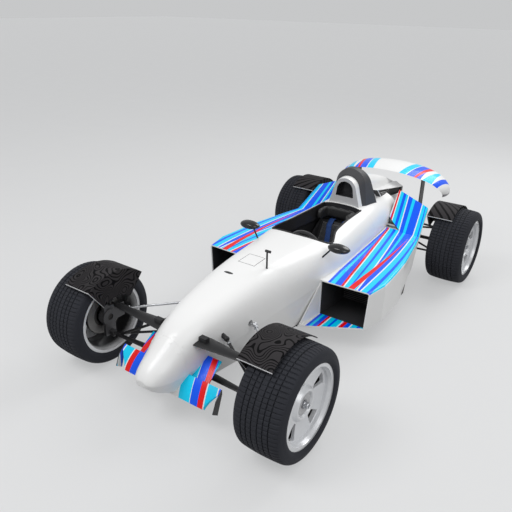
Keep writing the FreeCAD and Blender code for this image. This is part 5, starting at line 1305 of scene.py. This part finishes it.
# Scoop slats
# Two slanted slats of pale moulded plastic stand across each scoop in the pods' ramps. They are glued
# between the hull and the ramp.
slat_places = ((2.261, 0.486), (2.284, 0.507))
slat_middle = 0.33
slat_reach = 0.25
slat_seat = 0.001
slat_section = [(-0.008, -0.001), (0.008, -0.001), (0.0085, 0.0), (0.008, 0.001), (-0.008, 0.001),
                (-0.0085, 0.0)]
slat_up = Vector((0, -0.5, 1))
slat_finish, tree, shader = finish("slat_finish", (0.42, 0.42, 0.43), 0.5)
uneven_gloss(tree, shader, 0.42, 0.6, clouds(tree, 60))
for side_name, side in (("left", 1), ("right", -1)):
    for number, (scoop_aft, height) in enumerate(slat_places):
        middle = Vector((side * slat_middle, front_axle + scoop_aft, height))
        outer_end, _ = met("sidepod_" + side_name, middle, (side, 0, 0))
        inner_end, _ = met("engine_cover", middle, (-side, 0, 0))
        if outer_end is None or inner_end is None or (outer_end - inner_end).length > slat_reach:
            continue
        sunk = Vector((side * slat_seat, 0, 0))
        vertices, faces = swept_form([inner_end - sunk, outer_end + sunk], slat_section, [slat_up] * 2)
        new_piece(f"scoop_slat_{side_name}_{number}", vertices, faces, slat_finish, "chassis",
                  crease=50)


# Rod ends and drive shaft boots
# Each rod is locked in its eye by a six sided nut. Rubber bellows keep the grease in the output cups of the
# gearbox.
rod_eye = (0.612, 0.111, 0.352)
rod_rack_end = (0.250, 0.385, 0.402)
push_rod_foot = (0.570, 0.016, 0.2098)
push_rod_head = (0.214, 0.150, 0.405)
hexagon_shares = (1.12, 1.03, 1.0, 1.03)
hexagon_core = 0.009
lock_nut_bore = 0.0085
push_nut_more = 0.001
outer_nut_back = 0.022
inner_nut_back = 0.030
push_nut_back = 0.034
cup_face = 0.146
rear_axle = wheel_centre("rear_left")
bellows_folds = 5
bellows_pitch = 0.010
bellows = [(0.0, 0.0425), (0.006, 0.0425), (0.007, 0.040)]
for fold in range(bellows_folds):
    bellows += [(0.010 + bellows_pitch * fold, 0.040 - 0.0045 * fold),
                (0.015 + bellows_pitch * fold, 0.033 - 0.0040 * fold)]
bellows += [(0.062, 0.0175), (0.068, 0.0175), (0.068, 0.0158)]
lock_nut = [(-0.006, lock_nut_bore), (-0.006, 0.0125), (-0.005, 0.0138), (0.005, 0.0138),
            (0.006, 0.0125), (0.006, lock_nut_bore)]
push_nut = [(out, radius + push_nut_more) for out, radius in lock_nut]


def hexagon(out, radius, column):
    """Shape of a nut with six sides outside its round core."""
    share = hexagon_shares[column % 4] if radius > hexagon_core else 1.0
    return out, radius * share, 0


def beside(side, spot):
    """Place on one side of the car, from a distance out, a distance behind the front axle and a height."""
    out, aft, height = spot
    return Vector((side * out, front_axle + aft, height))


for side_name, side in (("left", 1), ("right", -1)):
    eye = beside(side, rod_eye)
    rack = beside(side, rod_rack_end)
    rod_run = (rack - eye).normalized()
    rod_nuts = (("outer", eye + rod_run * outer_nut_back), ("inner", rack - rod_run * inner_nut_back))
    for end_name, spot in rod_nuts:
        fitting(f"tie_rod_nut_{side_name}_{end_name}", lock_nut, spot, rod_run, nut_metal,
                body="tie_rod_" + side_name, shape=hexagon)
    head = beside(side, push_rod_head)
    push_run = (head - beside(side, push_rod_foot)).normalized()
    fitting("push_rod_nut_" + side_name, push_nut, head - push_run * push_nut_back, push_run, nut_metal,
            shape=hexagon)
    fitting("shaft_boot_" + side_name, bellows, (side * cup_face, rear_axle.y, rear_axle.z), (side, 0, 0),
            soft_black, columns=32, crease=40)


# Panel fasteners
# Quarter turn fasteners hold the nose and the engine cover. Each is a dished steel head with one slot,
# painted over with the panel.
head_profile = [(0.0, 0.0078), (0.0009, 0.0075), (0.0012, 0.0062), (0.0008, 0.0056), (0.0011, 0.005),
                (0.0011, 0.0)]
head_slot_depth = 0.0006
head_slot_start = 0.001
head_slot_end = 0.0055
nose_seam = front_axle - 0.130
seam_distance = 0.016
nose_heads = ((-0.105, 0.50), (-0.045, 0.53), (0.045, 0.53), (0.105, 0.50))
cover_heads = 6
cover_first = front_axle + 2.05
cover_pitch = 0.082
cover_height = 0.505
over_hood = 1.2
beside_cover = 0.9


def slotted(out, radius, column):
    """Shape of a screw head of sixteen columns with a slot across it."""
    on_slot = column in (0, 1, 8, 9) and head_slot_start < radius < head_slot_end
    return out - (head_slot_depth if on_slot else 0), radius, 0


def fastener(name, piece_node, start, direction):
    """One slotted head where a line meets a panel."""
    spot, outward = met(piece_node, start, direction)
    if spot is not None:
        fitting(name, head_profile, spot, outward, tub_paint, columns=16, shape=slotted)


for number, (x, height) in enumerate(nose_heads):
    for end_name, piece_node, y in (("nose", "nose_cone", nose_seam - seam_distance),
                                    ("hull", "tub", nose_seam + seam_distance)):
        fastener(f"{end_name}_fastener_{number}", piece_node, (x, y, over_hood), (0, 0, -1))
for side_name, side in (("left", 1), ("right", -1)):
    for number in range(cover_heads):
        fastener(f"cover_fastener_{side_name}_{number}", "engine_cover",
                 (side * beside_cover, cover_first + cover_pitch * number, cover_height), (-side, 0, 0))


# Last update
# The view layer is brought up to date, with every fitting on the car.
bpy.context.view_layer.update()
